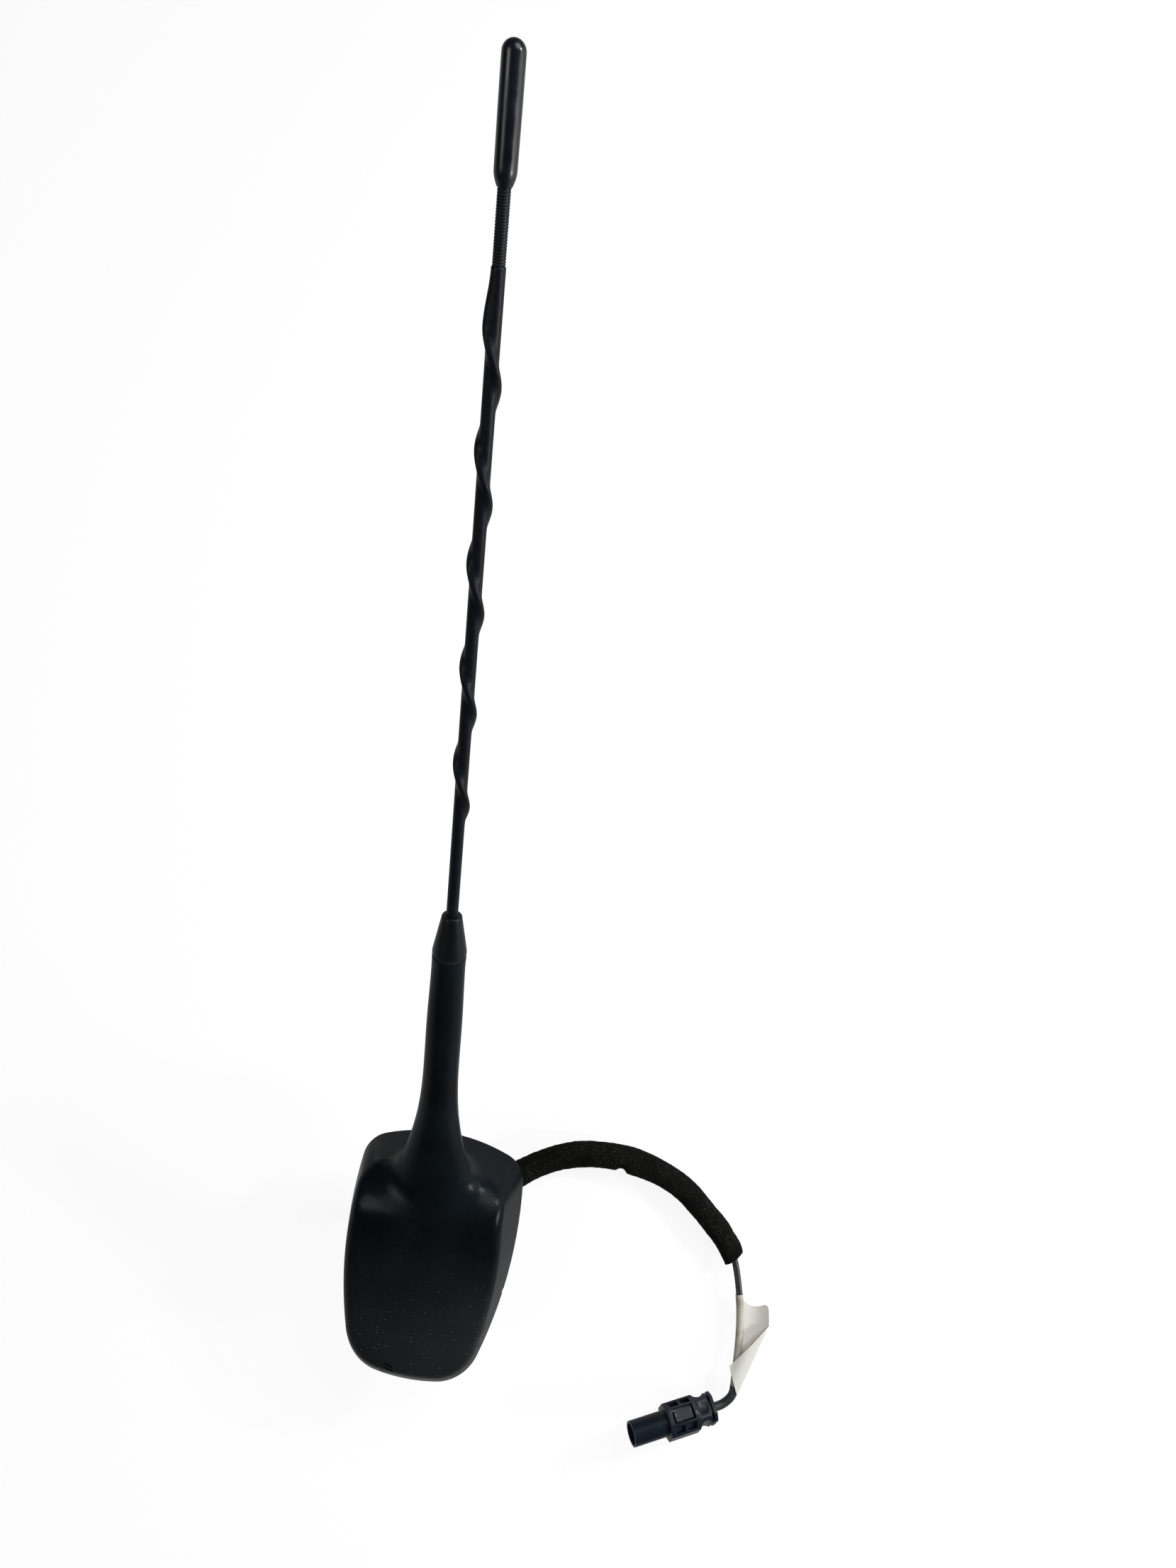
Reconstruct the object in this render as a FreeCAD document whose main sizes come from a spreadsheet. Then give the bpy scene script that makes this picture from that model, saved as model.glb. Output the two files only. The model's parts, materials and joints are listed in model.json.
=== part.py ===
import FreeCAD, Part
import math
import os
from types import SimpleNamespace

import Sketcher

# Car roof antenna: a wedge-shaped foot with a leaning neck, a screw-in mast and a cable with a plug.
# Frame: the roof skin is the plane Z = 0, the car's front is -Y, and the mast leans back towards +Y.

V = FreeCAD.Vector
doc = FreeCAD.newDocument("roof_antenna")

SIZES = {
    # the mast's lean from the roof's normal, and the joint's distance from the origin along the mast
    "lean": 55, "joint_along": 138,
    # foot of the cover, seen from above
    "half_width": 32, "widest_at": 14, "rear_reach": 44.6, "front_reach": 45, "side_bow": 155,
    "end_bow": 70, "rear_corner": 11, "front_corner": 17, "rim_gap": 0.6,
    # walls and sloping top of the cover
    "draft_height": 36, "side_draft": 12, "rear_draft": 22, "front_draft": 27, "top_mid": 21,
    "top_slope": 18.5, "top_bow": 112, "top_round": 5, "cover_wall": 2.2,
    # roll of the top towards the rear: where the slopes meet, the rear slope and the rounding between them
    "roll_in": 17.6, "rear_slope": 50, "roll_round": 20,
    # lever slot in the front wall, and drain notches in the rim
    "slot_at": -8, "pry_wide": 3, "pry_tall": 1.2, "pry_low": 2.6, "pry_deep": 10,
    "drain_at": -8, "drain_wide": 1.6, "drain_tall": 1.4,
    # neck
    "neck_tip": 11.2, "neck_waist": 12.7, "waist_along": 80, "flare_wide": 25.6, "flare_deep": 16.4,
    "flare_along": 44, "root_wide": 31, "root_deep": 17, "root_along": 26,
    "neck_hollow_end": 76, "neck_blend": 14,
    # gasket, base plate and its hollow stud
    "gasket_thick": 2, "gasket_band": 6, "gasket_corner": 3, "plate_thick": 2.5, "plate_gap": 0.3,
    "stud": 16, "stud_reach": 11.5, "stud_bore": 10, "stud_bevel": 0.8,
    "peg": 5, "peg_reach": 3, "peg_at": 21,
    # screws that hold the cover to the plate
    "screw": 3, "screw_head": 5.6, "head_thick": 1.6, "boss": 6.8, "tip_gap": 0.5, "hole_gap": 0.4,
    "rear_screw_side": 14.5, "rear_screw_in": 18.6, "front_screw_side": 19, "front_screw_in": 20,
    # amplifier board
    "board_wide": 40, "board_deep": 35, "board_gap": 1.6, "board_thick": 1.6, "board_corner": 2,
    "post": 5, "post_tall": 3, "post_inset": 4, "board_screw": 2, "board_head": 3.6, "board_head_thick": 1.2,
    "can_wide": 24, "can_deep": 13, "can_tall": 3.6, "can_wall": 0.3, "can_at": -3,
    "coil": 3.2, "coil_tall": 3, "coil_apart": 26, "coil_at": 10, "chip": 3, "chip_thick": 1.1,
    # feed from the board up to the mast
    "feed": 4, "feed_start": 24, "feed_gap": 0.1, "socket": 8.4, "socket_long": 17, "socket_collar": 9.6,
    "collar_long": 2, "thread_bore": 5, "bore_deep": 10, "clip_thick": 0.4, "clip_wide": 4, "clip_foot": 5,
    # mast
    "seal_thick": 1.2, "seal": 10.8, "ferrule_top": 6.4, "ferrule_tall": 14.5, "ferrule_lip": 1,
    "ferrule_round": 0.7, "mast_stud": 4.8, "mast_stud_reach": 8, "ferrule_core": 4.4,
    "ferrule_core_tall": 11,
    "rod": 2.5, "rod_foot": 4, "rod_in_tip": 17.5, "sheath": 3.6, "ridge": 1.7, "ridge_out": 1.15,
    "ridge_pitch": 30.6, "ridge_start": 48, "ridge_end_gap": 5, "ridge_phase": 78,
    "winding": 3.3, "winding_long": 17.5, "tip": 5.9, "tip_neck": 4, "tip_taper": 5, "tip_long": 30.8,
    "mast_long": 253.3,
    # cable and what is on it
    "cable": 2.6, "sleeve": 9.8, "sleeve_gap": 0.3, "grommet_flange": 13, "flange_thick": 1.2,
    "boot_wall": 0.35, "label_wall": 0.25, "flag_start": 4.5, "flag_wide": 11.5, "flag_square": 17,
    "flag_long": 34,
    # plug
    "barrel": 9.2, "barrel_long": 14, "barrel_bore": 7.6, "block": 12.4, "block_cut": 3.4,
    "block_long": 12.4, "waist_long": 4.7, "waist_notch": 6, "notch_deep": 1.1,
    "rear_flange": 10.8, "flange_cut": 2.2, "rear_flange_thick": 1.3, "groove_wide": 1, "groove_deep": 1,
    "window_long": 8.6, "window_wide": 5.4, "window_deep": 1.7, "lock_gap": 0.8,
    "slot_long": 3.6, "slot_wide": 2.8, "slot_apart": 4.8, "slot_deep": 1.2,
    "dimple": 3.6, "dimple_deep": 0.4,
    "contact": 4.8, "contact_wall": 0.5, "contact_long": 22, "contact_start": 4, "insulator_long": 15,
    "pin": 1, "pin_long": 18,
}

sheet = doc.addObject("Spreadsheet::Sheet", "Sizes")
for row, (alias, number) in enumerate(SIZES.items(), 1):
    sheet.set(f"A{row}", alias)
    sheet.set(f"B{row}", str(number))
    sheet.setAlias(f"B{row}", alias)
doc.recompute()


class Dim:
    """A size: its value now, and the expression that ties it to the sheet."""

    def __init__(self, text, value):
        self.text = text
        self.value = value

    def _join(self, sign, other, value, swap=False):
        text = other.text if isinstance(other, Dim) else repr(other)
        pair = (text, self.text) if swap else (self.text, text)
        return Dim(f"({pair[0]} {sign} {pair[1]})", value)

    def __add__(self, other):
        return self._join("+", other, self.value + plain(other))

    def __radd__(self, other):
        return self._join("+", other, plain(other) + self.value, swap=True)

    def __sub__(self, other):
        return self._join("-", other, self.value - plain(other))

    def __rsub__(self, other):
        return self._join("-", other, plain(other) - self.value, swap=True)

    def __mul__(self, other):
        return self._join("*", other, self.value * plain(other))

    __rmul__ = __mul__

    def __truediv__(self, other):
        return self._join("/", other, self.value / plain(other))

    def __rtruediv__(self, other):
        return self._join("/", other, plain(other) / self.value, swap=True)

    def __neg__(self):
        return Dim(f"(0 - {self.text})", -self.value)


def plain(size):
    """The number of a size, or the number itself."""
    return size.value if isinstance(size, Dim) else size


def sine(angle):
    return Dim(f"sin({angle.text})", math.sin(math.radians(angle.value)))


def cosine(angle):
    return Dim(f"cos({angle.text})", math.cos(math.radians(angle.value)))


def tangent(angle):
    return Dim(f"tan({angle.text})", math.tan(math.radians(angle.value)))


s = SimpleNamespace(**{alias: Dim(f"Sizes.{alias}", getattr(sheet, alias)) for alias in SIZES})


def bind(obj, **sizes):
    """Tie properties of a document object to sizes."""
    for name, size in sizes.items():
        if isinstance(size, Dim):
            obj.setExpression(name, size.text)
        else:
            setattr(obj, name, size)


def place(obj, x=0, y=0, z=0):
    """Put an object's placement at a point given by sizes."""
    obj.Placement.Base = V(plain(x), plain(y), plain(z))
    for axis, size in zip("xyz", (x, y, z)):
        if isinstance(size, Dim):
            obj.setExpression(f".Placement.Base.{axis}", size.text)


def on_mast(obj, along):
    """Stand an object on the leaning mast axis, at a distance along it."""
    obj.Placement = FreeCAD.Placement(V(0, 0, 0), FreeCAD.Rotation(V(-1, 0, 0), s.lean.value))
    obj.setExpression(".Placement.Rotation.Angle", s.lean.text)
    place(obj, 0, along * sine(s.lean), along * cosine(s.lean))


def new_body(label):
    body = doc.addObject("PartDesign::Body", label)
    body.Label = label
    return body


def sketch_on(body, role, name, lift=0, turn=None):
    """A sketch on one of the body's own planes, lifted off it and turned by an angle about X."""
    sketch = body.newObject("Sketcher::SketchObject", name)
    sketch.AttachmentSupport = [([p for p in body.Origin.OriginFeatures if p.Role == role][0], "")]
    sketch.MapMode = "FlatFace"
    angle = FreeCAD.Rotation(V(1, 0, 0), plain(turn or 0))
    sketch.AttachmentOffset = FreeCAD.Placement(V(0, 0, plain(lift)), angle)
    if isinstance(lift, Dim):
        sketch.setExpression(".AttachmentOffset.Base.z", lift.text)
    if isinstance(turn, Dim):
        sketch.setExpression(".AttachmentOffset.Rotation.Angle", turn.text)
    return sketch


def tie(sketch, kind, *where_and_size):
    """Add a constraint whose last value is a size."""
    *where, size = where_and_size
    index = sketch.addConstraint(Sketcher.Constraint(kind, *where, plain(size)))
    if isinstance(size, Dim):
        sketch.setExpression(f"Constraints[{index}]", size.text)


def pin_point(sketch, geometry, end, x, y):
    """Fix a point of the sketch; a plain zero puts it on the axis."""
    for kind, axis, size in (("DistanceX", -2, x), ("DistanceY", -1, y)):
        if isinstance(size, Dim):
            tie(sketch, kind, -1, 1, geometry, end, size)
        else:
            sketch.addConstraint(Sketcher.Constraint("PointOnObject", geometry, end, axis))


def polygon(sketch, corners):
    """Closed outline of straight lines through corners given by sizes."""
    first = sketch.GeometryCount
    points = [V(plain(x), plain(y), 0) for x, y in corners]
    count = len(points)
    for i in range(count):
        sketch.addGeometry(Part.LineSegment(points[i], points[(i + 1) % count]), False)
    for i in range(count):
        sketch.addConstraint(Sketcher.Constraint("Coincident", first + i, 2, first + (i + 1) % count, 1))
    for i, (x, y) in enumerate(corners):
        pin_point(sketch, first + i, 1, x, y)


def circle(sketch, x, y, across):
    """A circle of a given diameter."""
    index = sketch.addGeometry(Part.Circle(V(plain(x), plain(y), 0), V(0, 0, 1), plain(across) / 2), False)
    pin_point(sketch, index, 3, x, y)
    tie(sketch, "Radius", index, across / 2)


def rectangle(sketch, x0, x1, y0, y1):
    polygon(sketch, [(x0, y0), (x1, y0), (x1, y1), (x0, y1)])


def octagon(sketch, across, cut):
    """A square with its corners cut, about the origin."""
    half = across / 2
    flat = half - cut
    polygon(sketch, [(half, -flat), (half, flat), (flat, half), (-flat, half),
                     (-half, flat), (-half, -flat), (-flat, -half), (flat, -half)])


def pad(body, sketch, length, down=False):
    feature = body.newObject("PartDesign::Pad", sketch.Name + "_pad")
    feature.Profile = sketch
    feature.Reversed = down
    bind(feature, Length=length)
    return feature


def pocket(body, sketch, depth, up=False, both=False):
    feature = body.newObject("PartDesign::Pocket", sketch.Name + "_pocket")
    feature.Profile = sketch
    feature.Reversed = up
    feature.Midplane = both
    bind(feature, Length=depth)
    return feature


def turned(label, outline):
    """A turned piece: an outline of (radius, height) pairs spun about Z."""
    body = new_body(label)
    sketch = sketch_on(body, "XZ_Plane", label + "_outline")
    polygon(sketch, outline)
    spin = body.newObject("PartDesign::Revolution", label + "_turn")
    spin.Profile = sketch
    spin.ReferenceAxis = (sketch, ["V_Axis"])
    spin.Angle = 360
    return body


def soften(body, kind, size, chosen):
    """Fillet or chamfer the edges of the body's last feature that the test picks."""
    doc.recompute()
    base = body.Tip
    names = [f"Edge{i}" for i, edge in enumerate(base.Shape.Edges, 1) if chosen(edge)]
    feature = body.newObject("PartDesign::" + kind, f"{body.Name}_{kind.lower()}")
    feature.Base = (base, names)
    bind(feature, **{"Radius" if kind == "Fillet" else "Size": size})
    return feature


def ring_at(radius, height):
    """Test for a round edge about Z at a radius and height."""
    def chosen(edge):
        curve = edge.Curve
        return (isinstance(curve, Part.Circle) and abs(curve.Radius - plain(radius)) < 1e-4
                and abs(curve.Center.z - plain(height)) < 1e-4)
    return chosen


def upright(edge):
    """Test for an edge that stands along Z."""
    ends = [v.Point for v in edge.Vertexes]
    return len(ends) == 2 and abs(ends[0].x - ends[1].x) + abs(ends[0].y - ends[1].y) < 1e-6


def cut(label, base, *tools):
    """Base less one or more tools."""
    tool = tools[0]
    if len(tools) > 1:
        tool = doc.addObject("Part::MultiFuse", label + "_tools")
        tool.Shapes = list(tools)
    result = doc.addObject("Part::Cut", label)
    result.Base = base
    result.Tool = tool
    return result


def fuse(label, *shapes):
    result = doc.addObject("Part::MultiFuse", label)
    result.Shapes = list(shapes)
    return result


def group(label, *shapes):
    """Separate solids kept in one node."""
    result = doc.addObject("Part::Compound", label)
    result.Links = list(shapes)
    return result


def cylinder(name, across, tall, x=0, y=0, z=0):
    obj = doc.addObject("Part::Cylinder", name)
    bind(obj, Radius=across / 2, Height=tall)
    place(obj, x, y, z)
    return obj


# Outline of the foot: four bowed sides joined by corner arcs, drawn in at a height by the walls' draft.

def foot_outline(height=None, inset=0, corner=None):
    """Sizes of the foot's outline, drawn in by the draft at a height and by an inset."""
    rise = 0 if height is None else height - s.rim_gap
    side = inset + rise * tangent(s.side_draft)
    rear = inset + rise * tangent(s.rear_draft)
    front = inset + rise * tangent(s.front_draft)
    return SimpleNamespace(
        half_width=s.half_width - side, rear_reach=s.rear_reach - rear, front_reach=s.front_reach - front,
        side_bow=s.side_bow - side, rear_bow=s.end_bow - rear, front_bow=s.end_bow - front,
        rear_corner=corner or s.rear_corner - inset, front_corner=corner or s.front_corner - inset)


def corner_arc(end, side, radius, outward):
    """Points of the arc of a radius that touches an end circle and a side circle from inside."""
    reach_a = end.Radius - radius
    reach_b = side.Radius - radius
    line = side.Center - end.Center
    along = (line.Length ** 2 + reach_a ** 2 - reach_b ** 2) / (2 * line.Length)
    across = math.sqrt(reach_a ** 2 - along ** 2)
    line.normalize()
    options = [end.Center + line * along + V(-line.y, line.x, 0) * (across * way) for way in (1, -1)]
    centre = max(options, key=lambda point: point.y * outward)
    touches = [centre + (centre - big.Center).normalize() * radius for big in (end, side)]
    middle = centre + ((touches[0] + touches[1]) * 0.5 - centre).normalize() * radius
    return touches[0], middle, touches[1]


def bow(big, start, end):
    """The arc of a big circle between two of its points."""
    middle = big.Center + ((start + end) * 0.5 - big.Center).normalize() * big.Radius
    return Part.Arc(start, middle, end)


def draw_foot(sketch, o):
    """Draw a foot outline as eight tangent arcs tied to its sizes."""
    up = V(0, 0, 1)
    rear = Part.Circle(V(0, plain(o.rear_reach - o.rear_bow), 0), up, plain(o.rear_bow))
    front = Part.Circle(V(0, plain(o.front_bow - o.front_reach), 0), up, plain(o.front_bow))
    right = Part.Circle(V(plain(o.half_width - o.side_bow), s.widest_at.value, 0), up, plain(o.side_bow))
    left = Part.Circle(V(plain(o.side_bow - o.half_width), s.widest_at.value, 0), up, plain(o.side_bow))
    rear_right = corner_arc(rear, right, plain(o.rear_corner), 1)
    rear_left = corner_arc(rear, left, plain(o.rear_corner), 1)
    front_right = corner_arc(front, right, plain(o.front_corner), -1)
    front_left = corner_arc(front, left, plain(o.front_corner), -1)
    arcs = [
        bow(rear, rear_right[0], rear_left[0]), Part.Arc(*rear_left),
        bow(left, rear_left[2], front_left[2]), Part.Arc(*reversed(front_left)),
        bow(front, front_left[0], front_right[0]), Part.Arc(*front_right),
        bow(right, front_right[2], rear_right[2]), Part.Arc(*reversed(rear_right))]
    first = sketch.GeometryCount
    for arc in arcs:
        sketch.addGeometry(arc, False)
    for i in range(8):
        sketch.addConstraint(Sketcher.Constraint("Tangent", first + i, 2, first + (i + 1) % 8, 1))
    radii = [o.rear_bow, o.rear_corner, o.side_bow, o.front_corner,
             o.front_bow, o.front_corner, o.side_bow, o.rear_corner]
    for i, radius in enumerate(radii):
        tie(sketch, "Radius", first + i, radius)
    pin_point(sketch, first, 3, 0, o.rear_reach - o.rear_bow)
    pin_point(sketch, first + 4, 3, 0, o.front_bow - o.front_reach)
    pin_point(sketch, first + 6, 3, o.half_width - o.side_bow, s.widest_at)
    pin_point(sketch, first + 2, 3, o.side_bow - o.half_width, s.widest_at)


# Housing cover: drafted walls under a bowed, sloping top, a flared neck, hollow inside.

def cut_roof(body, label, height, turn, bow_radius):
    """Cut away what lies above a bowed roof that passes a height over the origin."""
    above = sketch_on(body, "XY_Plane", label, height, turn)
    reach = 2 * s.half_width
    drop = math.sqrt(plain(bow_radius) ** 2 - plain(reach) ** 2) - plain(bow_radius)
    right, left = V(plain(reach), drop, 0), V(-plain(reach), drop, 0)
    high_right, high_left = V(plain(reach), plain(reach), 0), V(-plain(reach), plain(reach), 0)
    above.addGeometry(Part.Arc(right, V(0, 0, 0), left), False)
    above.addGeometry(Part.LineSegment(left, high_left), False)
    above.addGeometry(Part.LineSegment(high_left, high_right), False)
    above.addGeometry(Part.LineSegment(high_right, right), False)
    for i in range(4):
        above.addConstraint(Sketcher.Constraint("Coincident", i, 2, (i + 1) % 4, 1))
    pin_point(above, 0, 3, 0, -bow_radius)
    tie(above, "Radius", 0, bow_radius)
    pin_point(above, 2, 1, -reach, reach)
    pin_point(above, 2, 2, reach, reach)
    above.addConstraint(Sketcher.Constraint("Vertical", 1))
    above.addConstraint(Sketcher.Constraint("Vertical", 3))
    pocket(body, above, 4 * (s.rear_reach + s.front_reach), both=True)


def roof_faces(body):
    """The faces of the body's last feature whose normal rises at 30 degrees or more."""
    doc.recompute()
    found = []
    for face in body.Tip.Shape.Faces:
        low_u, high_u, low_v, high_v = face.ParameterRange
        if face.normalAt((low_u + high_u) / 2, (low_v + high_v) / 2).z > 0.5:
            found.append(face)
    return found


def borders(edge, faces):
    """How many of the faces have the edge."""
    return sum(any(edge.isSame(e) for e in face.Edges) for face in faces)


def wedge(label, inset, foot_height):
    """Drafted block of the foot under a roof that slopes up and then rolls over to the rear."""
    body = new_body(label)
    low = sketch_on(body, "XY_Plane", label + "_low", foot_height)
    draw_foot(low, foot_outline(foot_height, inset))
    high = sketch_on(body, "XY_Plane", label + "_high", s.draft_height)
    draw_foot(high, foot_outline(s.draft_height, inset))
    walls = body.newObject("PartDesign::AdditiveLoft", label + "_walls")
    walls.Profile = low
    walls.Sections = [high]
    walls.Ruled = True
    roll_at = s.rear_reach - s.roll_in
    rear_mid = s.top_mid + roll_at * (tangent(s.top_slope) + tangent(s.rear_slope))
    bow_radius = s.top_bow - inset
    cut_roof(body, label + "_top", s.top_mid - inset / cosine(s.top_slope), 90 + s.top_slope, bow_radius)
    cut_roof(body, label + "_rear", rear_mid - inset / cosine(s.rear_slope), 90 - s.rear_slope, bow_radius)
    slopes = roof_faces(body)
    soften(body, "Fillet", s.roll_round - inset, lambda edge: borders(edge, slopes) == 2)
    roof = roof_faces(body)
    soften(body, "Fillet", s.top_round - inset, lambda edge: borders(edge, roof) == 1)
    return body


def oval(name, wide, deep, along):
    """An oval section of the neck, across the mast axis."""
    obj = doc.addObject("Part::Ellipse", name)
    bind(obj, MajorRadius=wide / 2, MinorRadius=deep / 2)
    on_mast(obj, along)
    return obj


def neck_loft(label, sections):
    """A smooth solid through oval sections of the neck."""
    obj = doc.addObject("Part::Loft", label)
    obj.Sections = [oval(f"{label}_{i}", *section) for i, section in enumerate(sections)]
    obj.Solid = True
    return obj


neck_end = s.joint_along - s.seal_thick
plate_low = s.gasket_thick
plate_top = plate_low + s.plate_thick
board_low = plate_top + s.post_tall
board_top = board_low + s.board_thick
board_rear = s.rear_reach - s.rear_screw_in - s.boss / 2 - s.board_gap
socket_foot = neck_end - s.socket_long
rear_screw_x, rear_screw_y = s.half_width - s.rear_screw_side, s.rear_reach - s.rear_screw_in
front_screw_x, front_screw_y = s.half_width - s.front_screw_side, s.front_reach - s.front_screw_in
cover_places = [(rear_screw_x, rear_screw_y), (-rear_screw_x, rear_screw_y),
                (front_screw_x, -front_screw_y), (-front_screw_x, -front_screw_y)]
far_x, far_y = front_screw_x + s.screw / 2, front_screw_y + s.screw / 2
roof_over_screw = (s.top_mid - s.cover_wall / cosine(s.top_slope) - far_y * tangent(s.top_slope)
                   - far_x * far_x / (2 * s.top_bow))
screw_grip = roof_over_screw - s.tip_gap - plate_top

outer = wedge("cover_outside", 0, s.rim_gap)
mid_flare = (s.waist_along + s.flare_along) / 2
neck = neck_loft("neck_outside", [
    (s.root_wide, s.root_deep, s.root_along),
    (s.flare_wide, s.flare_deep, s.flare_along),
    ((s.flare_wide + 2 * s.neck_waist) / 3, (s.flare_deep + 2 * s.neck_waist) / 3, mid_flare),
    (s.neck_waist, s.neck_waist, s.waist_along),
    ((s.neck_waist + s.neck_tip) / 2, (s.neck_waist + s.neck_tip) / 2, (s.waist_along + neck_end) / 2),
    (s.neck_tip, s.neck_tip, neck_end),
])
shell_walls = 2 * s.cover_wall
inner_foot = -s.cover_wall
inside = wedge("cover_inside", s.cover_wall, inner_foot)
bosses = sketch_on(inside, "XY_Plane", "boss_rings", plate_top)
for x, y in cover_places:
    circle(bosses, x, y, s.boss)
    circle(bosses, x, y, s.screw)
pocket(inside, bosses, s.draft_height, up=True)
hollow = neck_loft("neck_inside", [
    (s.root_wide - shell_walls, s.root_deep - shell_walls, s.root_along),
    (s.flare_wide - shell_walls, s.flare_deep - shell_walls, s.flare_along),
    ((s.flare_wide + 2 * s.neck_waist) / 3 - shell_walls,
     (s.flare_deep + 2 * s.neck_waist) / 3 - shell_walls, mid_flare),
    (s.neck_waist - shell_walls, s.neck_waist - shell_walls, s.neck_hollow_end),
])
feed_hole = cylinder("feed_hole", s.feed + 2 * s.feed_gap, socket_foot - s.root_along)
on_mast(feed_hole, s.root_along)
socket_hole = cylinder("socket_hole", s.socket, s.socket_long)
on_mast(socket_hole, socket_foot)
collar_hole = cylinder("collar_hole", s.socket_collar, s.collar_long)
on_mast(collar_hole, neck_end - s.collar_long)


def blend_neck(solid):
    """Round the seam where the neck grows out of the foot."""
    doc.recompute()
    stem = max((f for f in solid.Shape.Faces if f.CenterOfMass.y > s.rear_reach.value), key=lambda f: f.Area)
    seam = [i for i, edge in enumerate(solid.Shape.Edges, 1)
            if any(edge.isSame(e) for e in stem.Edges) and edge.CenterOfMass.y < s.rear_reach.value]
    result = doc.addObject("Part::Fillet", "cover_blended")
    result.Base = solid
    result.Edges = [(i, s.neck_blend.value, s.neck_blend.value) for i in seam]
    return result


def block(name, length, width, height, x, y, z):
    """A box by its lowest corner."""
    obj = doc.addObject("Part::Box", name)
    bind(obj, Length=length, Width=width, Height=height)
    place(obj, x, y, z)
    return obj


pry_slot = block("pry_slot", s.pry_wide, s.pry_deep, s.pry_tall,
                 s.slot_at - s.pry_wide / 2, -s.front_reach - s.cover_wall, s.pry_low)
drain = block("drain_notches", 3 * s.half_width, s.drain_wide, s.drain_tall,
              -1.5 * s.half_width, s.drain_at - s.drain_wide / 2, 0)
cover = cut("housing_cover", blend_neck(fuse("cover_solid", outer, neck)),
            inside, hollow, feed_hole, socket_hole, collar_hole, pry_slot, drain)

# Gasket, and the cast base plate with its hollow stud, posts and locating peg.

plate_inset = s.cover_wall + (plate_top - s.rim_gap) * tangent(s.front_draft) + s.plate_gap

gasket = new_body("roof_gasket")
band = sketch_on(gasket, "XY_Plane", "gasket_band_outline")
draw_foot(band, foot_outline(inset=plate_inset))
draw_foot(band, foot_outline(inset=plate_inset + s.gasket_band, corner=s.gasket_corner))
pad(gasket, band, s.gasket_thick)

plate = new_body("base_plate")
floor = sketch_on(plate, "XY_Plane", "plate_outline", plate_low)
draw_foot(floor, foot_outline(inset=plate_inset))
pad(plate, floor, s.plate_thick)
stud = sketch_on(plate, "XY_Plane", "stud_outline", plate_low)
circle(stud, 0, 0, s.stud)
pad(plate, stud, plate_low + s.stud_reach, down=True)
soften(plate, "Chamfer", s.stud_bevel, ring_at(s.stud / 2, -s.stud_reach))
peg = sketch_on(plate, "XY_Plane", "peg_outline", plate_low)
circle(peg, 0, -s.peg_at, s.peg)
pad(plate, peg, plate_low + s.peg_reach, down=True)
post_x = s.board_wide / 2 - s.post_inset
post_rear = board_rear - s.post_inset
post_front = board_rear - s.board_deep + s.post_inset
post_places = [(post_x, post_rear), (-post_x, post_rear), (post_x, post_front), (-post_x, post_front)]
posts = sketch_on(plate, "XY_Plane", "post_outlines", plate_top)
for x, y in post_places:
    circle(posts, x, y, s.post)
pad(plate, posts, s.post_tall)
tapped = sketch_on(plate, "XY_Plane", "post_holes", board_low)
for x, y in post_places:
    circle(tapped, x, y, s.board_screw)
pocket(plate, tapped, s.post_tall)
bore = sketch_on(plate, "XY_Plane", "stud_bore_outline", plate_top)
circle(bore, 0, 0, s.stud_bore)
pocket(plate, bore, plate_top + s.stud_reach)
holes = sketch_on(plate, "XY_Plane", "screw_holes", plate_top)
for x, y in cover_places:
    circle(holes, x, y, s.screw + s.hole_gap)
pocket(plate, holes, s.plate_thick)

# Screws: the cover's four from below, the board's four from above.


def screw(name, shank, grip, head, head_thick, x, y, seat, up):
    """A pan-head screw whose head bears on a seat height, with its shank going up or down."""
    body = turned(name, [(0, -head_thick), (head / 2, -head_thick), (head / 2, 0),
                         (shank / 2, 0), (shank / 2, grip), (0, grip)])
    body.Placement.Rotation = FreeCAD.Rotation(V(1, 0, 0), 0 if up else 180)
    place(body, x, y, seat)
    return body


cover_screws = group("cover_screws", *[
    screw(f"cover_screw_{i}", s.screw, s.plate_thick + screw_grip, s.screw_head, s.head_thick,
          x, y, plate_low, True)
    for i, (x, y) in enumerate(cover_places)])
board_screws = group("board_screws", *[
    screw(f"board_screw_{i}", s.board_screw, s.board_thick + s.post_tall, s.board_head, s.board_head_thick,
          x, y, board_top, False)
    for i, (x, y) in enumerate(post_places)])

# Amplifier board with its shield can, coils, chips and the clip that meets the feed rod.

board = new_body("amplifier_board")
card = sketch_on(board, "XY_Plane", "board_outline", board_low)
board_front = board_rear - s.board_deep
rectangle(card, -s.board_wide / 2, s.board_wide / 2, board_front, board_rear)
pad(board, card, s.board_thick)
soften(board, "Fillet", s.board_corner, upright)
drilled = sketch_on(board, "XY_Plane", "board_holes", board_top)
for x, y in post_places:
    circle(drilled, x, y, s.board_screw + s.hole_gap)
circle(drilled, 0, 0, s.cable)
pocket(board, drilled, s.board_thick)

can = new_body("shield_can")
can_foot = sketch_on(can, "XY_Plane", "can_outline", board_top)
can_front = s.can_at - s.can_deep / 2
can_rear = s.can_at + s.can_deep / 2
rectangle(can_foot, -s.can_wide / 2, s.can_wide / 2, can_front, can_rear)
pad(can, can_foot, s.can_tall)
soften(can, "Fillet", s.can_wall * 2, upright)
can_room = sketch_on(can, "XY_Plane", "can_room", board_top)
rectangle(can_room, s.can_wall - s.can_wide / 2, s.can_wide / 2 - s.can_wall,
          can_front + s.can_wall, can_rear - s.can_wall)
pocket(can, can_room, s.can_tall - s.can_wall, up=True)

coils = group("filter_coils", *[
    cylinder(f"coil_{side}", s.coil, s.coil_tall, way * s.coil_apart / 2, s.coil_at, board_top)
    for side, way in (("left", -1), ("right", 1))])


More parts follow.
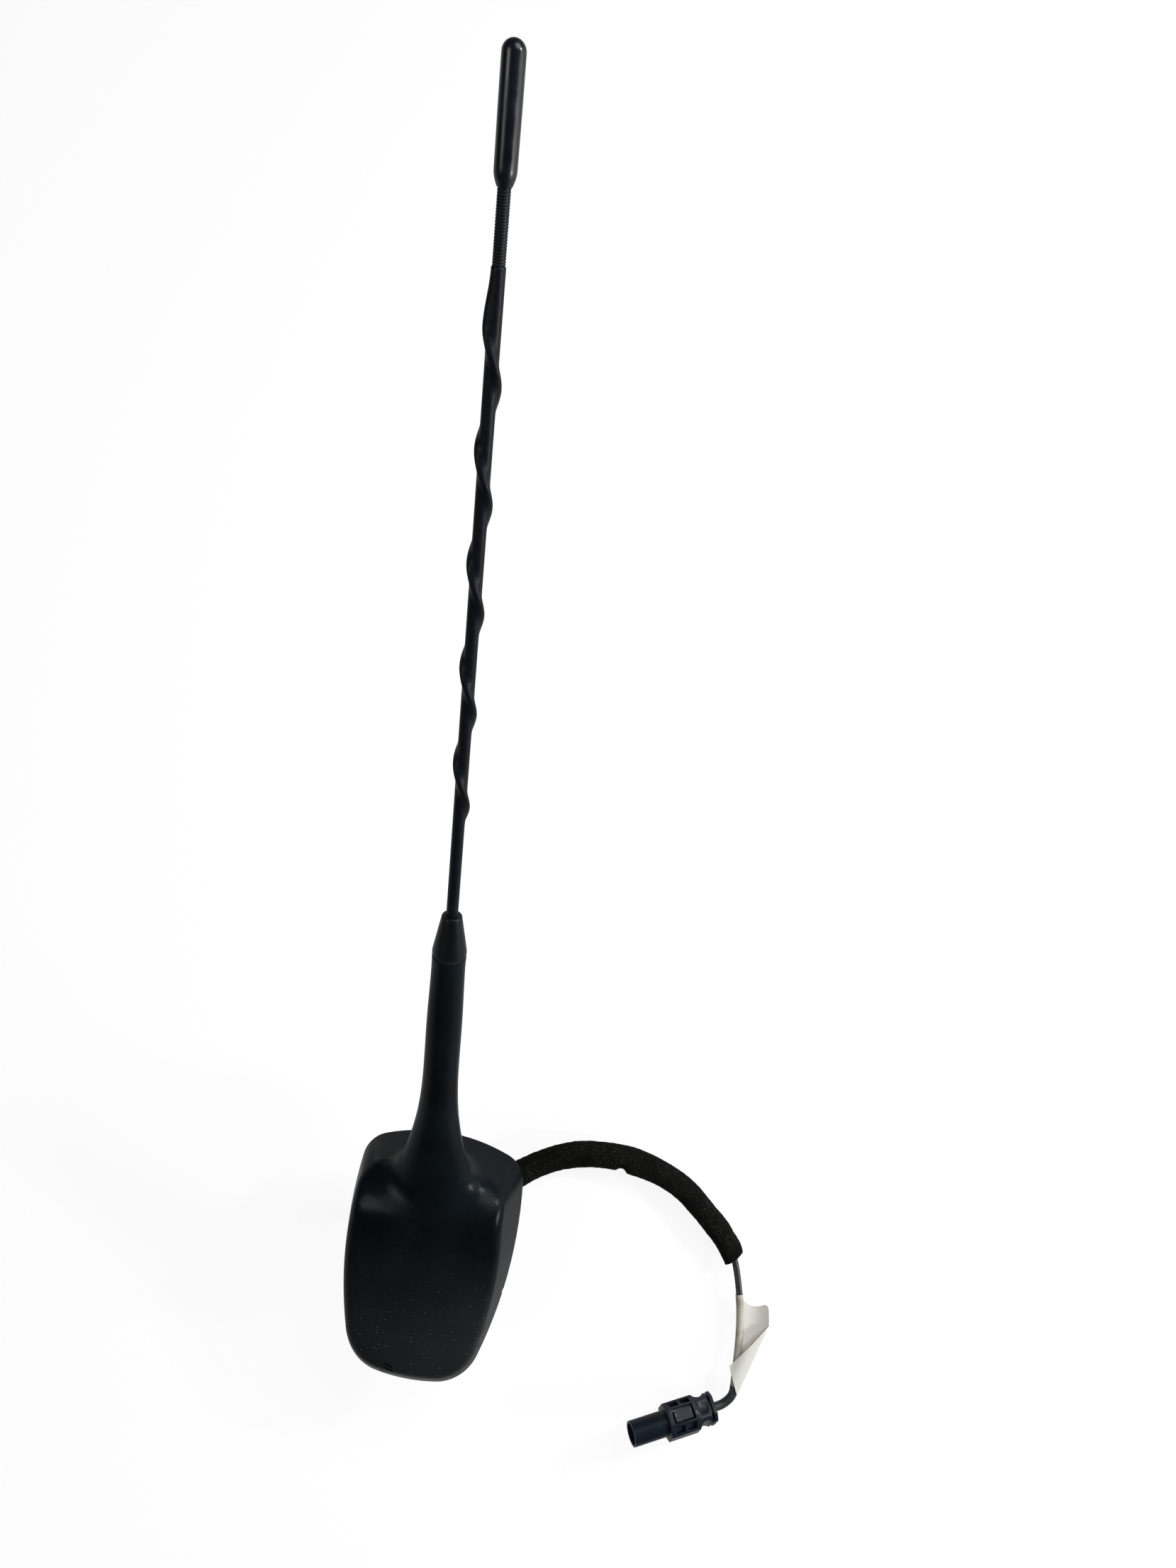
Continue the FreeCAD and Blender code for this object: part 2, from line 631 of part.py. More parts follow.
chips = group("amplifier_chips", *[
    block(f"chip_{i}", s.chip, s.chip, s.chip_thick,
          way * s.coil_apart / 4 - s.chip / 2, s.coil_at - s.chip / 2, board_top)
    for i, way in enumerate((-1, 1))])

feed_y = s.feed_start * sine(s.lean)
feed_z = s.feed_start * cosine(s.lean)
clip_y = s.feed_start * sine(s.lean) - s.clip_thick * sine(s.lean)
clip_z = s.feed_start * cosine(s.lean) - s.clip_thick * cosine(s.lean)
pad_half = s.feed / 2
clip = new_body("feed_clip")
bent = sketch_on(clip, "YZ_Plane", "clip_outline", -s.clip_wide / 2)
rear_top = (feed_y + pad_half * cosine(s.lean), feed_z - pad_half * sine(s.lean))
front_top = (feed_y - pad_half * cosine(s.lean), feed_z + pad_half * sine(s.lean))
front_low = (clip_y - pad_half * cosine(s.lean), clip_z + pad_half * sine(s.lean))
knee_y = rear_top[0] - s.clip_thick
polygon(bent, [
    (rear_top[0] - s.clip_foot, board_top),
    (rear_top[0], board_top),
    rear_top,
    front_top,
    front_low,
    (knee_y, rear_top[1]),
    (knee_y, board_top + s.clip_thick),
    (rear_top[0] - s.clip_foot, board_top + s.clip_thick),
])
pad(clip, bent, s.clip_wide)

feed = cylinder("feed_rod", s.feed, socket_foot - s.feed_start)
on_mast(feed, s.feed_start)

socket = turned("mast_socket", [
    (0, 0), (s.socket / 2, 0), (s.socket / 2, s.socket_long - s.collar_long),
    (s.socket_collar / 2, s.socket_long - s.collar_long), (s.socket_collar / 2, s.socket_long),
    (s.thread_bore / 2, s.socket_long), (s.thread_bore / 2, s.socket_long - s.bore_deep),
    (0, s.socket_long - s.bore_deep)])
on_mast(socket, socket_foot)

# Mast: seal ring, cone ferrule on a threaded stud, glass-fibre rod, ridged sheath, winding and tip.

seal = turned("mast_seal", [
    (s.thread_bore / 2, 0), (s.seal / 2, 0),
    (s.seal / 2, s.seal_thick), (s.thread_bore / 2, s.seal_thick)])
on_mast(seal, neck_end)

ferrule = turned("mast_ferrule", [
    (s.ferrule_core / 2, 0), (s.neck_tip / 2, 0),
    (s.neck_tip / 2, s.ferrule_lip), (s.ferrule_top / 2, s.ferrule_tall),
    (s.sheath / 2, s.ferrule_tall), (s.sheath / 2, s.ferrule_core_tall),
    (s.ferrule_core / 2, s.ferrule_core_tall)])
soften(ferrule, "Fillet", s.ferrule_round, ring_at(s.ferrule_top / 2, s.ferrule_tall))
on_mast(ferrule, s.joint_along)

mast_stud = turned("mast_stud", [
    (0, -s.mast_stud_reach), (s.mast_stud / 2, -s.mast_stud_reach), (s.mast_stud / 2, 0),
    (s.ferrule_core / 2, 0), (s.ferrule_core / 2, s.ferrule_core_tall),
    (s.rod / 2, s.ferrule_core_tall), (s.rod / 2, s.rod_foot), (0, s.rod_foot)])
soften(mast_stud, "Chamfer", s.mast_stud / 8, ring_at(s.mast_stud / 2, -s.mast_stud_reach))
on_mast(mast_stud, s.joint_along)

tip_foot = s.mast_long - s.tip_long
rod_end = tip_foot + s.rod_in_tip
sheath_end = tip_foot - s.winding_long
rod = cylinder("mast_rod", s.rod, rod_end - s.rod_foot)
on_mast(rod, s.joint_along + s.rod_foot)


def ridge_spine():
    """Left-handed helix of the sheath's ridge."""
    start, stop = s.ridge_start.value, (sheath_end - s.ridge_end_gap).value
    turns = (stop - start) / s.ridge_pitch.value
    steps = int(turns * 16)
    radius = (s.sheath.value - s.ridge.value) / 2 + s.ridge_out.value
    points = []
    for i in range(steps + 1):
        turn = math.radians(s.ridge_phase.value - 360 * turns * i / steps)
        points.append(V(radius * math.cos(turn), radius * math.sin(turn), start + (stop - start) * i / steps))
    curve = Part.BSplineCurve()
    curve.interpolate(points)
    return curve


def ridged_sheath():
    """Heat-shrunk tube with the helical ridge raised on it."""
    foot = s.ferrule_core_tall.value
    tube = Part.makeCylinder(s.sheath.value / 2, sheath_end.value - foot, V(0, 0, foot))
    spine = ridge_spine()
    start = spine.FirstParameter
    section = Part.Wire(Part.makeCircle(s.ridge.value / 2, spine.value(start), spine.tangent(start)[0]))
    ridge = Part.Wire(spine.toShape()).makePipeShell([section], True, True)
    room = Part.makeCylinder(s.rod.value / 2, sheath_end.value, V(0, 0, 0))
    return tube.fuse(ridge).cut(room)


sheath = doc.addObject("Part::Feature", "mast_sheath")
sheath.Shape = ridged_sheath()
on_mast(sheath, s.joint_along)

winding = turned("mast_winding", [
    (s.rod / 2, sheath_end), (s.winding / 2, sheath_end), (s.winding / 2, tip_foot), (s.rod / 2, tip_foot)])
on_mast(winding, s.joint_along)

tip = turned("mast_tip", [
    (s.rod / 2, tip_foot), (s.tip_neck / 2, tip_foot), (s.tip / 2, tip_foot + s.tip_taper),
    (s.tip / 2, s.mast_long), (0, s.mast_long), (0, rod_end), (s.rod / 2, rod_end)])
soften(tip, "Fillet", s.tip * 0.48, ring_at(s.tip / 2, s.mast_long))
on_mast(tip, s.joint_along)

# Cable: out of the stud, bent under the foot to the rear, then round to the plug, all lying on one level.

CABLE_ROUTE = [
    V(0, 0, -12.7), V(0, 0, -20.5), V(6.5, 6.5, -27), V(18.7, 23.1, -27), V(40.5, 39.5, -27),
    V(64.9, 43.8, -27), V(89.6, 38.3, -27), V(104.9, 26.1, -27), V(114.4, 17, -27),
    V(118.2, 9, -27.1), V(122, -6.5, -27.2), V(123.2, -20.2, -27.4), V(123.3, -30.8, -27.6),
    V(123.8, -37.3, -27.6), V(120.5, -41.3, -27.2), V(115.9, -43, -25.4)]


def route_legs(points):
    """For each bend, the half run before it, its arc and the half run after it."""
    legs = []
    for before, bend, after in zip(points, points[1:], points[2:]):
        back, on = before - bend, after - bend
        half_turn = (math.pi - back.getAngle(on)) / 2
        reach = 0.45 * min(back.Length, on.Length)
        radius = reach / math.tan(half_turn)
        print(f"bend at {tuple(bend)}: radius {radius:.1f} mm")
        start = bend + back.normalize() * reach
        end = bend + on.normalize() * reach
        middle = bend + (back + on).normalize() * (radius / math.cos(half_turn) - radius)
        first = before if before is points[0] else (before + bend) * 0.5
        last = after if after is points[-1] else (bend + after) * 0.5
        arc = Part.Arc(start, middle, end).toShape()
        legs.append([Part.makeLine(first, start), arc, Part.makeLine(end, last)])
    return legs


LEGS = route_legs(CABLE_ROUTE)
SLEEVE_LEGS, LABEL_LEGS, BOOT_LEGS = LEGS[2:8], LEGS[9:12], LEGS[12:14]


def tube(legs, across):
    """A solid round tube along some of the route's legs."""
    wire = Part.Wire([edge for leg in legs for edge in leg])
    start = wire.Edges[0]
    section = Part.Wire(Part.makeCircle(plain(across) / 2, start.valueAt(0), start.tangentAt(0)))
    return wire.makePipeShell([section], True, False)


cable = doc.addObject("Part::Feature", "coax_cable")
cable.Shape = tube(LEGS, s.cable)

sleeve = doc.addObject("Part::Feature", "foam_sleeve")
sleeve.Shape = tube(SLEEVE_LEGS, s.sleeve).cut(tube(SLEEVE_LEGS, s.cable + 2 * s.sleeve_gap))

boot = doc.addObject("Part::Feature", "cable_boot")
boot.Shape = tube(BOOT_LEGS, s.cable + 2 * s.boot_wall).cut(tube(BOOT_LEGS, s.cable))


def paper_label():
    """A paper label wrapped round the cable, with its two ends stuck together as a flag."""
    wrap = tube(LABEL_LEGS, s.cable + 2 * s.label_wall)
    first = LABEL_LEGS[0][0].valueAt(0)
    last = LABEL_LEGS[-1][2].Vertexes[-1].Point
    run = (last - first).normalize()
    side = V(0, 0, 1).cross(run).normalize()
    start, long = s.flag_start.value, s.flag_long.value
    near, wide, square = s.cable.value * 0.54, s.flag_wide.value, s.flag_square.value
    corners = [(start, near), (start, wide), (square, wide), (long, near), (start, near)]
    flag = Part.Face(Part.makePolygon([first + run * along + side * out for along, out in corners]))
    paper = flag.extrude(V(0, 0, 2 * s.label_wall.value))
    return wrap.fuse(paper).cut(tube(LABEL_LEGS, s.cable)).removeSplitter()


label = doc.addObject("Part::Feature", "cable_label")
label.Shape = paper_label()

grommet = turned("cable_grommet", [
    (s.cable / 2, -s.stud_reach - s.flange_thick), (s.grommet_flange / 2, -s.stud_reach - s.flange_thick),
    (s.grommet_flange / 2, -s.stud_reach), (s.stud_bore / 2, -s.stud_reach),
    (s.stud_bore / 2, plate_low), (s.cable / 2, plate_low)])
tail = cylinder("cable_tail", s.cable, board_top + s.stud_reach + s.flange_thick,
                0, 0, -s.stud_reach - s.flange_thick)

# Plug: an octagonal housing with windows, a round barrel, a lock and a coaxial contact, lying on its side.

plug_start = CABLE_ROUTE[-1]
plug_heading = (CABLE_ROUTE[-1] - CABLE_ROUTE[-2]).normalize()
PLUG_ROLL = 30


def on_plug(obj):
    """Line an object's X up with the cable's end, rolled as the plug lies."""
    level = V(0, 0, 1).cross(plug_heading)
    up = plug_heading.cross(level)
    heading = FreeCAD.Rotation(plug_heading, level, up, "XYZ")
    obj.Placement = FreeCAD.Placement(plug_start, heading * FreeCAD.Rotation(V(1, 0, 0), PLUG_ROLL))


waist_start = s.rear_flange_thick + s.groove_wide
block_start = waist_start + s.waist_long
barrel_start = block_start + s.block_long
plug_long = barrel_start + s.barrel_long

plug = new_body("plug_housing")
flange_face = sketch_on(plug, "YZ_Plane", "plug_flange")
octagon(flange_face, s.rear_flange, s.flange_cut)
pad(plug, flange_face, block_start)
groove = sketch_on(plug, "YZ_Plane", "flange_groove", s.rear_flange_thick)
octagon(groove, s.rear_flange + s.groove_deep, s.flange_cut)
octagon(groove, s.rear_flange - 2 * s.groove_deep, s.flange_cut)
pocket(plug, groove, s.groove_wide, up=True)
block_face = sketch_on(plug, "YZ_Plane", "plug_block", block_start)
octagon(block_face, s.block, s.block_cut)
pad(plug, block_face, s.block_long)
barrel_face = sketch_on(plug, "YZ_Plane", "plug_barrel", barrel_start)
circle(barrel_face, 0, 0, s.barrel)
pad(plug, barrel_face, s.barrel_long)
mouth = sketch_on(plug, "YZ_Plane", "plug_mouth", plug_long)
circle(mouth, 0, 0, s.barrel_bore)
pocket(plug, mouth, s.barrel_long)
nest = sketch_on(plug, "YZ_Plane", "contact_nest", plug_long)
circle(nest, 0, 0, s.contact)
pocket(plug, nest, plug_long - s.contact_start)
entry = sketch_on(plug, "YZ_Plane", "cable_entry", s.contact_start)
circle(entry, 0, 0, s.cable + 2 * s.boot_wall)
pocket(plug, entry, s.contact_start)
window_mid = block_start + s.block_long / 2
window = sketch_on(plug, "XY_Plane", "lock_window", s.block / 2)
rectangle(window, window_mid - s.window_long / 2, window_mid + s.window_long / 2,
          -s.window_wide / 2, s.window_wide / 2)
pocket(plug, window, s.window_deep)
waist_mid = waist_start + s.waist_long / 2
notches = sketch_on(plug, "XY_Plane", "waist_notches", s.rear_flange / 2)
for way in (-1, 1):
    circle(notches, waist_mid, way * (s.rear_flange / 2 + s.waist_notch / 2 - s.notch_deep), s.waist_notch)
pocket(plug, notches, s.rear_flange)
dimple = sketch_on(plug, "XY_Plane", "waist_dimple", s.rear_flange / 2)
circle(dimple, waist_mid, 0, s.dimple)
pocket(plug, dimple, s.dimple_deep)
slant = (s.block - s.block_cut) / math.sqrt(2)
slots = sketch_on(plug, "XY_Plane", "side_slots", turn=45)
slots.AttachmentOffset = FreeCAD.Placement(
    V(0, -plain(slant) / math.sqrt(2), plain(slant) / math.sqrt(2)), FreeCAD.Rotation(V(1, 0, 0), 45))
slots.setExpression(".AttachmentOffset.Base.y", (-(slant / math.sqrt(2))).text)
slots.setExpression(".AttachmentOffset.Base.z", (slant / math.sqrt(2)).text)
for way in (-1, 1):
    middle = window_mid + way * s.slot_apart / 2
    rectangle(slots, middle - s.slot_long / 2, middle + s.slot_long / 2, -s.slot_wide / 2, s.slot_wide / 2)
slot_cut = pocket(plug, slots, s.slot_deep)
mirror = plug.newObject("PartDesign::Mirrored", "other_side_slots")
mirror.Originals = [slot_cut]
mirror.MirrorPlane = ([p for p in plug.Origin.OriginFeatures if p.Role == "XZ_Plane"][0], [""])
plug.Tip = mirror
on_plug(plug)

lock = new_body("plug_lock")
tongue = sketch_on(lock, "XY_Plane", "lock_outline", s.block / 2 - s.window_deep)
rectangle(tongue, window_mid - s.window_long / 2 + s.lock_gap, window_mid + s.window_long / 2 - s.lock_gap,
          -s.window_wide / 2 + s.lock_gap, s.window_wide / 2 - s.lock_gap)
pad(lock, tongue, s.window_deep - s.lock_gap / 2)
on_plug(lock)


def along_plug(label, outline):
    """A turned piece about the plug's own axis."""
    body = new_body(label)
    sketch = sketch_on(body, "XY_Plane", label + "_outline")
    polygon(sketch, outline)
    spin = body.newObject("PartDesign::Revolution", label + "_turn")
    spin.Profile = sketch
    spin.ReferenceAxis = (sketch, ["H_Axis"])
    spin.Angle = 360
    on_plug(body)
    return body


contact_end = s.contact_start + s.contact_long
contact_room = s.contact / 2 - s.contact_wall
contact = along_plug("plug_contact", [
    (s.contact_start, contact_room), (contact_end, contact_room),
    (contact_end, s.contact / 2), (s.contact_start, s.contact / 2)])
insulator_end = s.contact_start + s.insulator_long
insulator = along_plug("plug_insulator", [
    (s.contact_start, s.pin / 2), (insulator_end, s.pin / 2),
    (insulator_end, contact_room), (s.contact_start, contact_room)])
centre_pin = along_plug("plug_pin", [
    (s.contact_start, 0), (s.contact_start + s.pin_long, 0),
    (s.contact_start + s.pin_long, s.pin / 2), (s.contact_start, s.pin / 2)])

# Write each sub-part to its own file.

NODES = [
    cover, gasket, plate, cover_screws, board, board_screws, can, coils, chips, clip, feed, socket,
    seal, ferrule, mast_stud, rod, sheath, winding, tip,
    grommet, tail, cable, sleeve, boot, label, plug, lock, contact, insulator, centre_pin]

doc.recompute()
faults = [obj.Label for obj in doc.Objects if {"Invalid", "Error"} & set(obj.State)]
faults += [node.Label for node in NODES if node.Shape.isNull() or not node.Shape.isValid()]
if faults:
    raise RuntimeError(f"not built: {faults}")
os.makedirs("parts", exist_ok=True)
for node in NODES:
    node.Shape.exportStep(f"parts/{node.Label}.step")
    print(f"{node.Label}: {len(node.Shape.Solids)} solid(s), {node.Shape.Volume:.1f} mm3")
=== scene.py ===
"""Looks of a car roof antenna: a leaning whip mast on a moulded foot, with a sleeved cable and its plug."""
import json
import logging
import math
from collections.abc import Callable, Iterator, Sequence
from contextlib import contextmanager
from dataclasses import dataclass, field
from enum import Enum

import bmesh
import bpy
from mathutils import Matrix, Vector, noise


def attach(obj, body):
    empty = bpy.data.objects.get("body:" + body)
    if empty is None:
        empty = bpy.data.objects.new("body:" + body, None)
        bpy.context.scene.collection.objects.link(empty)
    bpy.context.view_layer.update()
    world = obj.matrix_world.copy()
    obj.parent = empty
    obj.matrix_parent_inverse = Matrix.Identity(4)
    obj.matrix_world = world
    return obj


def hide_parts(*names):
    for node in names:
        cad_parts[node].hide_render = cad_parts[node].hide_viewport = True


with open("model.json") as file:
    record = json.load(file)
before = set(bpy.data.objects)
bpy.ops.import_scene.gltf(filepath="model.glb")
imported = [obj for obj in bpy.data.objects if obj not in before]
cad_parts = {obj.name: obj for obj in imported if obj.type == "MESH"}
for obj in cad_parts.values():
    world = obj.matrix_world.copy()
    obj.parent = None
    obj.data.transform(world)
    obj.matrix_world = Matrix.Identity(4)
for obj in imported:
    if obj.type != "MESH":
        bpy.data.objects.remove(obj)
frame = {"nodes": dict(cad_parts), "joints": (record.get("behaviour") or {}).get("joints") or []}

MM = 0.001
LOG = logging.getLogger("antenna")
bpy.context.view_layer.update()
TURN = next(joint for joint in frame["joints"] if joint["name"] == "mast_turn")
JOINT = Vector(TURN["pos_m"])
LEAN = math.atan2(TURN["axis"][1], TURN["axis"][2])
DOWN = Vector((0, 0, -1))

Socket = bpy.types.NodeSocket
Sockets = bpy.types.NodeInputs
Tree = bpy.types.NodeTree
Thing = bpy.types.Object

# Sockets of a colour Mix node, by number, because their names repeat for each data type.
SHARE, UNDER, OVER, MIXED = 0, 6, 7, 2


def linear(code: str) -> tuple[float, float, float, float]:
    """Turn an sRGB hex colour into the linear colour that sockets take.

    Args:
        code: six hex digits.
    Returns:
        Linear red, green and blue, with an alpha of 1.
    """
    shares = [int(code[i:i + 2], 16) / 255 for i in (0, 2, 4)]
    red, green, blue = (c / 12.92 if c <= 0.04045 else ((c + 0.055) / 1.055) ** 2.4 for c in shares)
    return red, green, blue, 1.0


def fill(tree: Tree, sockets: Sockets, values: dict) -> None:
    """Set a node's inputs, or link them.

    Args:
        tree: the node's tree.
        sockets: the node's inputs.
        values: a value or an output socket for each input, by name or number.
    """
    for key, value in values.items():
        if isinstance(value, Socket):
            tree.links.new(value, sockets[key])
        else:
            sockets[key].default_value = value


def add(tree: Tree, kind: str, inputs: dict | None = None, **settings: object) -> bpy.types.Node:
    """Add a node with its settings, and fill or link its inputs.

    Args:
        tree: the material's or world's node tree.
        kind: the node's type name.
        inputs: a value or an output socket for each input, by name or number.
        settings: the node's own properties.
    Returns:
        The new node.
    """
    made = tree.nodes.new(kind)
    for name, value in settings.items():
        setattr(made, name, value)
    fill(tree, made.inputs, inputs or {})
    return made


def per_mm(size: float) -> float:
    """Texture scale, in metres, of a pattern whose features are a size in millimetres."""
    return 1 / (size * MM)


@dataclass(frozen=True)
class Finish:
    """A real material with the surface that its making left. Pattern sizes are in millimetres."""

    name: str

    def material(self) -> bpy.types.Material:
        """Return the node material, made once.

        Returns:
            The material with its nodes.
        """
        made = bpy.data.materials.get(self.name)
        if made is None:
            made = bpy.data.materials.new(self.name)
            made.use_nodes = True
            tree = made.node_tree
            place = add(tree, "ShaderNodeTexCoord").outputs["Object"]
            self.paint(tree, tree.nodes["Principled BSDF"].inputs, place)
        return made

    def paint(self, tree: Tree, shader: Sockets, place: Socket) -> None:
        """Link the finish's nodes to the shader's inputs.

        Args:
            tree: the material's tree.
            shader: the shader's inputs.
            place: object coordinates.
        """
        raise NotImplementedError


@dataclass(frozen=True)
class MouldedPlastic(Finish):
    """Plastic from a spark-eroded mould: a fine even grain, satin, with slow shifts of tone."""

    dark: str
    pale: str
    roughness: float
    grain: float
    depth: float
    specular: float = 0.5
    gloss: float = 0.0
    gloss_roughness: float = 0.2
    drift: float = 24.0
    # The dust amount scales both the real dust specks and the painted sheen towards the front.
    dust: float = 0.0
    dust_and_sheen_tone: str = "9DA39E"
    painted_front_sheen: float = 0.05
    dust_and_sheen_reach: tuple[float, float] = (8.0, -30.0)
    speck_apart: float = 1.3
    # A wear colour also turns on the painted shade in slots and gaps.
    wear: str = ""
    rub: float = 2.2
    gap_shade_reach: float = 3.0
    gap_shade_tone: str = "000000"

    def paint(self, tree: Tree, shader: Sockets, place: Socket) -> None:
        """Grain in bump and roughness, a slow drift of colour, and dust with painted sheen, rubbed edges with
        painted shade in gaps, and gloss where set.

        Args:
            tree: the material's tree.
            shader: the shader's inputs.
            place: object coordinates.
        """
        grain = add(tree, "ShaderNodeTexNoise",
                    {"Vector": place, "Scale": per_mm(self.grain), "Detail": 3.0, "Roughness": 0.6})
        drift = add(tree, "ShaderNodeTexNoise", {"Vector": place, "Scale": per_mm(self.drift), "Detail": 4.0})
        share = add(tree, "ShaderNodeMapRange",
                    {"Value": drift.outputs["Fac"], "From Min": 0.36, "From Max": 0.68})
        tone = add(tree, "ShaderNodeMix", {SHARE: share.outputs[0], UNDER: linear(self.dark),
                                           OVER: linear(self.pale)}, data_type="RGBA")
        colour = tone.outputs[MIXED]
        if self.dust:
            colour = self.dusted_and_sheened(tree, place, colour)
        if self.wear:
            colour = self.worn_and_gap_shaded(tree, place, colour)
        sheen = add(tree, "ShaderNodeMapRange",
                    {"Value": grain.outputs["Fac"], "From Min": 0.3, "From Max": 0.7,
                     "To Min": self.roughness - 0.07, "To Max": self.roughness + 0.09})
        bump = add(tree, "ShaderNodeBump",
                   {"Strength": 0.8, "Distance": self.depth * MM, "Height": grain.outputs["Fac"]})
        fill(tree, shader, {"Base Color": colour, "Roughness": sheen.outputs[0], "Normal": bump.outputs[0],
                            "IOR": 1.53, "Specular IOR Level": self.specular})
        if self.gloss:
            fill(tree, shader, {"Coat Weight": self.gloss, "Coat Roughness": self.gloss_roughness,
                                "Coat Normal": bump.outputs[0]})

    def dusted_and_sheened(self, tree: Tree, place: Socket, colour: Socket) -> Socket:
        """Scatter pale dust specks that lie thicker towards the car's front, and paint a pale sheen film that
        grows towards the front too.

        Args:
            tree: the material's tree.
            place: object coordinates.
            colour: the clean surface's colour.
        Returns:
            The dusted colour.
        """
        # Specks about 0.3 mm across, in half of the cells: drawn a little large, or they would not show.
        speck = add(tree, "ShaderNodeTexVoronoi",
                    {"Vector": place, "Scale": per_mm(self.speck_apart), "Randomness": 1.0})
        dot = add(tree, "ShaderNodeMapRange",
                  {"Value": speck.outputs["Distance"], "From Min": 0.17, "From Max": 0.08})
        lot = add(tree, "ShaderNodeSeparateColor", {"Color": speck.outputs["Color"]})
        drawn = add(tree, "ShaderNodeMapRange",
                    {"Value": lot.outputs["Red"], "From Min": 0.5, "From Max": 1.0})
        axes = add(tree, "ShaderNodeSeparateXYZ", {"Vector": place})
        clean, dusty = self.dust_and_sheen_reach
        ahead = add(tree, "ShaderNodeMapRange",
                    {"Value": axes.outputs["Y"], "From Min": clean * MM, "From Max": dusty * MM})
        some = add(tree, "ShaderNodeMath", {0: dot.outputs[0], 1: drawn.outputs[0]}, operation="MULTIPLY")
        specks = add(tree, "ShaderNodeMath", {0: some.outputs[0], 1: ahead.outputs[0]}, operation="MULTIPLY")
        # Painted sheen: a pale film that thickens towards the front, standing in for light falling from the
        # front.
        film = add(tree, "ShaderNodeMath", {0: ahead.outputs[0], 1: self.painted_front_sheen}, operation="MULTIPLY")
        total = add(tree, "ShaderNodeMath", {0: specks.outputs[0], 1: film.outputs[0]}, operation="ADD")
        amount = add(tree, "ShaderNodeMath", {0: total.outputs[0], 1: self.dust}, operation="MULTIPLY")
        mixed = add(tree, "ShaderNodeMix", {SHARE: amount.outputs[0], UNDER: colour,
                                            OVER: linear(self.dust_and_sheen_tone)}, data_type="RGBA")
        return mixed.outputs[MIXED]

    def worn_and_gap_shaded(self, tree: Tree, place: Socket, colour: Socket) -> Socket:
        """Rub the edges pale in places, and paint shade into the slots and gaps that see little open sky.

        Args:
            tree: the material's tree.
            place: object coordinates.
            colour: the new surface's colour.
        Returns:
            The worn colour.
        """
        edge = add(tree, "ShaderNodeNewGeometry").outputs["Pointiness"]
        sharp = add(tree, "ShaderNodeMapRange", {"Value": edge, "From Min": 0.56, "From Max": 0.68})
        rub = add(tree, "ShaderNodeTexNoise", {"Vector": place, "Scale": per_mm(self.rub), "Detail": 5.0})
        where = add(tree, "ShaderNodeMapRange",
                    {"Value": rub.outputs["Fac"], "From Min": 0.58, "From Max": 0.7})
        scuff = add(tree, "ShaderNodeMath", {0: sharp.outputs[0], 1: where.outputs[0]}, operation="MULTIPLY")
        rubbed = add(tree, "ShaderNodeMix", {SHARE: scuff.outputs[0], UNDER: colour,
                                             OVER: linear(self.wear)}, data_type="RGBA")
        # Painted shade: the colour goes to black where ambient occlusion finds little open sky.
        open_sky = add(tree, "ShaderNodeAmbientOcclusion", {"Distance": self.gap_shade_reach * MM}, samples=8)
        light = add(tree, "ShaderNodeMapRange",
                    {"Value": open_sky.outputs["AO"], "From Min": 0.35, "From Max": 0.75})
        gap_shaded = add(tree, "ShaderNodeMix", {SHARE: light.outputs[0], UNDER: linear(self.gap_shade_tone),
                                           OVER: rubbed.outputs[MIXED]}, data_type="RGBA")
        return gap_shaded.outputs[MIXED]


@dataclass(frozen=True)
class ShrunkTube(Finish):
    """Heat-shrunk polyolefin: smoother than a moulding, with faint lengthwise draw marks."""

    dark: str
    pale: str
    roughness: float
    specular: float = 0.3
    streak: tuple[float, float, float] = (0.7, 0.7, 9.0)
    depth: float = 0.05

    def paint(self, tree: Tree, shader: Sockets, place: Socket) -> None:
        """Streaks along the mast in colour, roughness and bump.

        Args:
            tree: the material's tree.
            shader: the shader's inputs.
            place: object coordinates.
        """
        upright = add(tree, "ShaderNodeMapping", {"Vector": place, "Rotation": (LEAN, 0, 0),
                                                  "Scale": tuple(per_mm(size) for size in self.streak)})
        streak = add(tree, "ShaderNodeTexNoise", {"Vector": upright.outputs[0], "Scale": 1.0, "Detail": 4.0})
        tone = add(tree, "ShaderNodeMix", {SHARE: streak.outputs["Fac"], UNDER: linear(self.dark),
                                           OVER: linear(self.pale)}, data_type="RGBA")
        sheen = add(tree, "ShaderNodeMapRange",
                    {"Value": streak.outputs["Fac"], "From Min": 0.3, "From Max": 0.7,
                     "To Min": self.roughness - 0.08, "To Max": self.roughness + 0.1})
        bump = add(tree, "ShaderNodeBump",
                   {"Strength": 0.5, "Distance": self.depth * MM, "Height": streak.outputs["Fac"]})
        fill(tree, shader, {"Base Color": tone.outputs[MIXED], "Roughness": sheen.outputs[0],
                            "Normal": bump.outputs[0], "IOR": 1.5, "Specular IOR Level": self.specular})


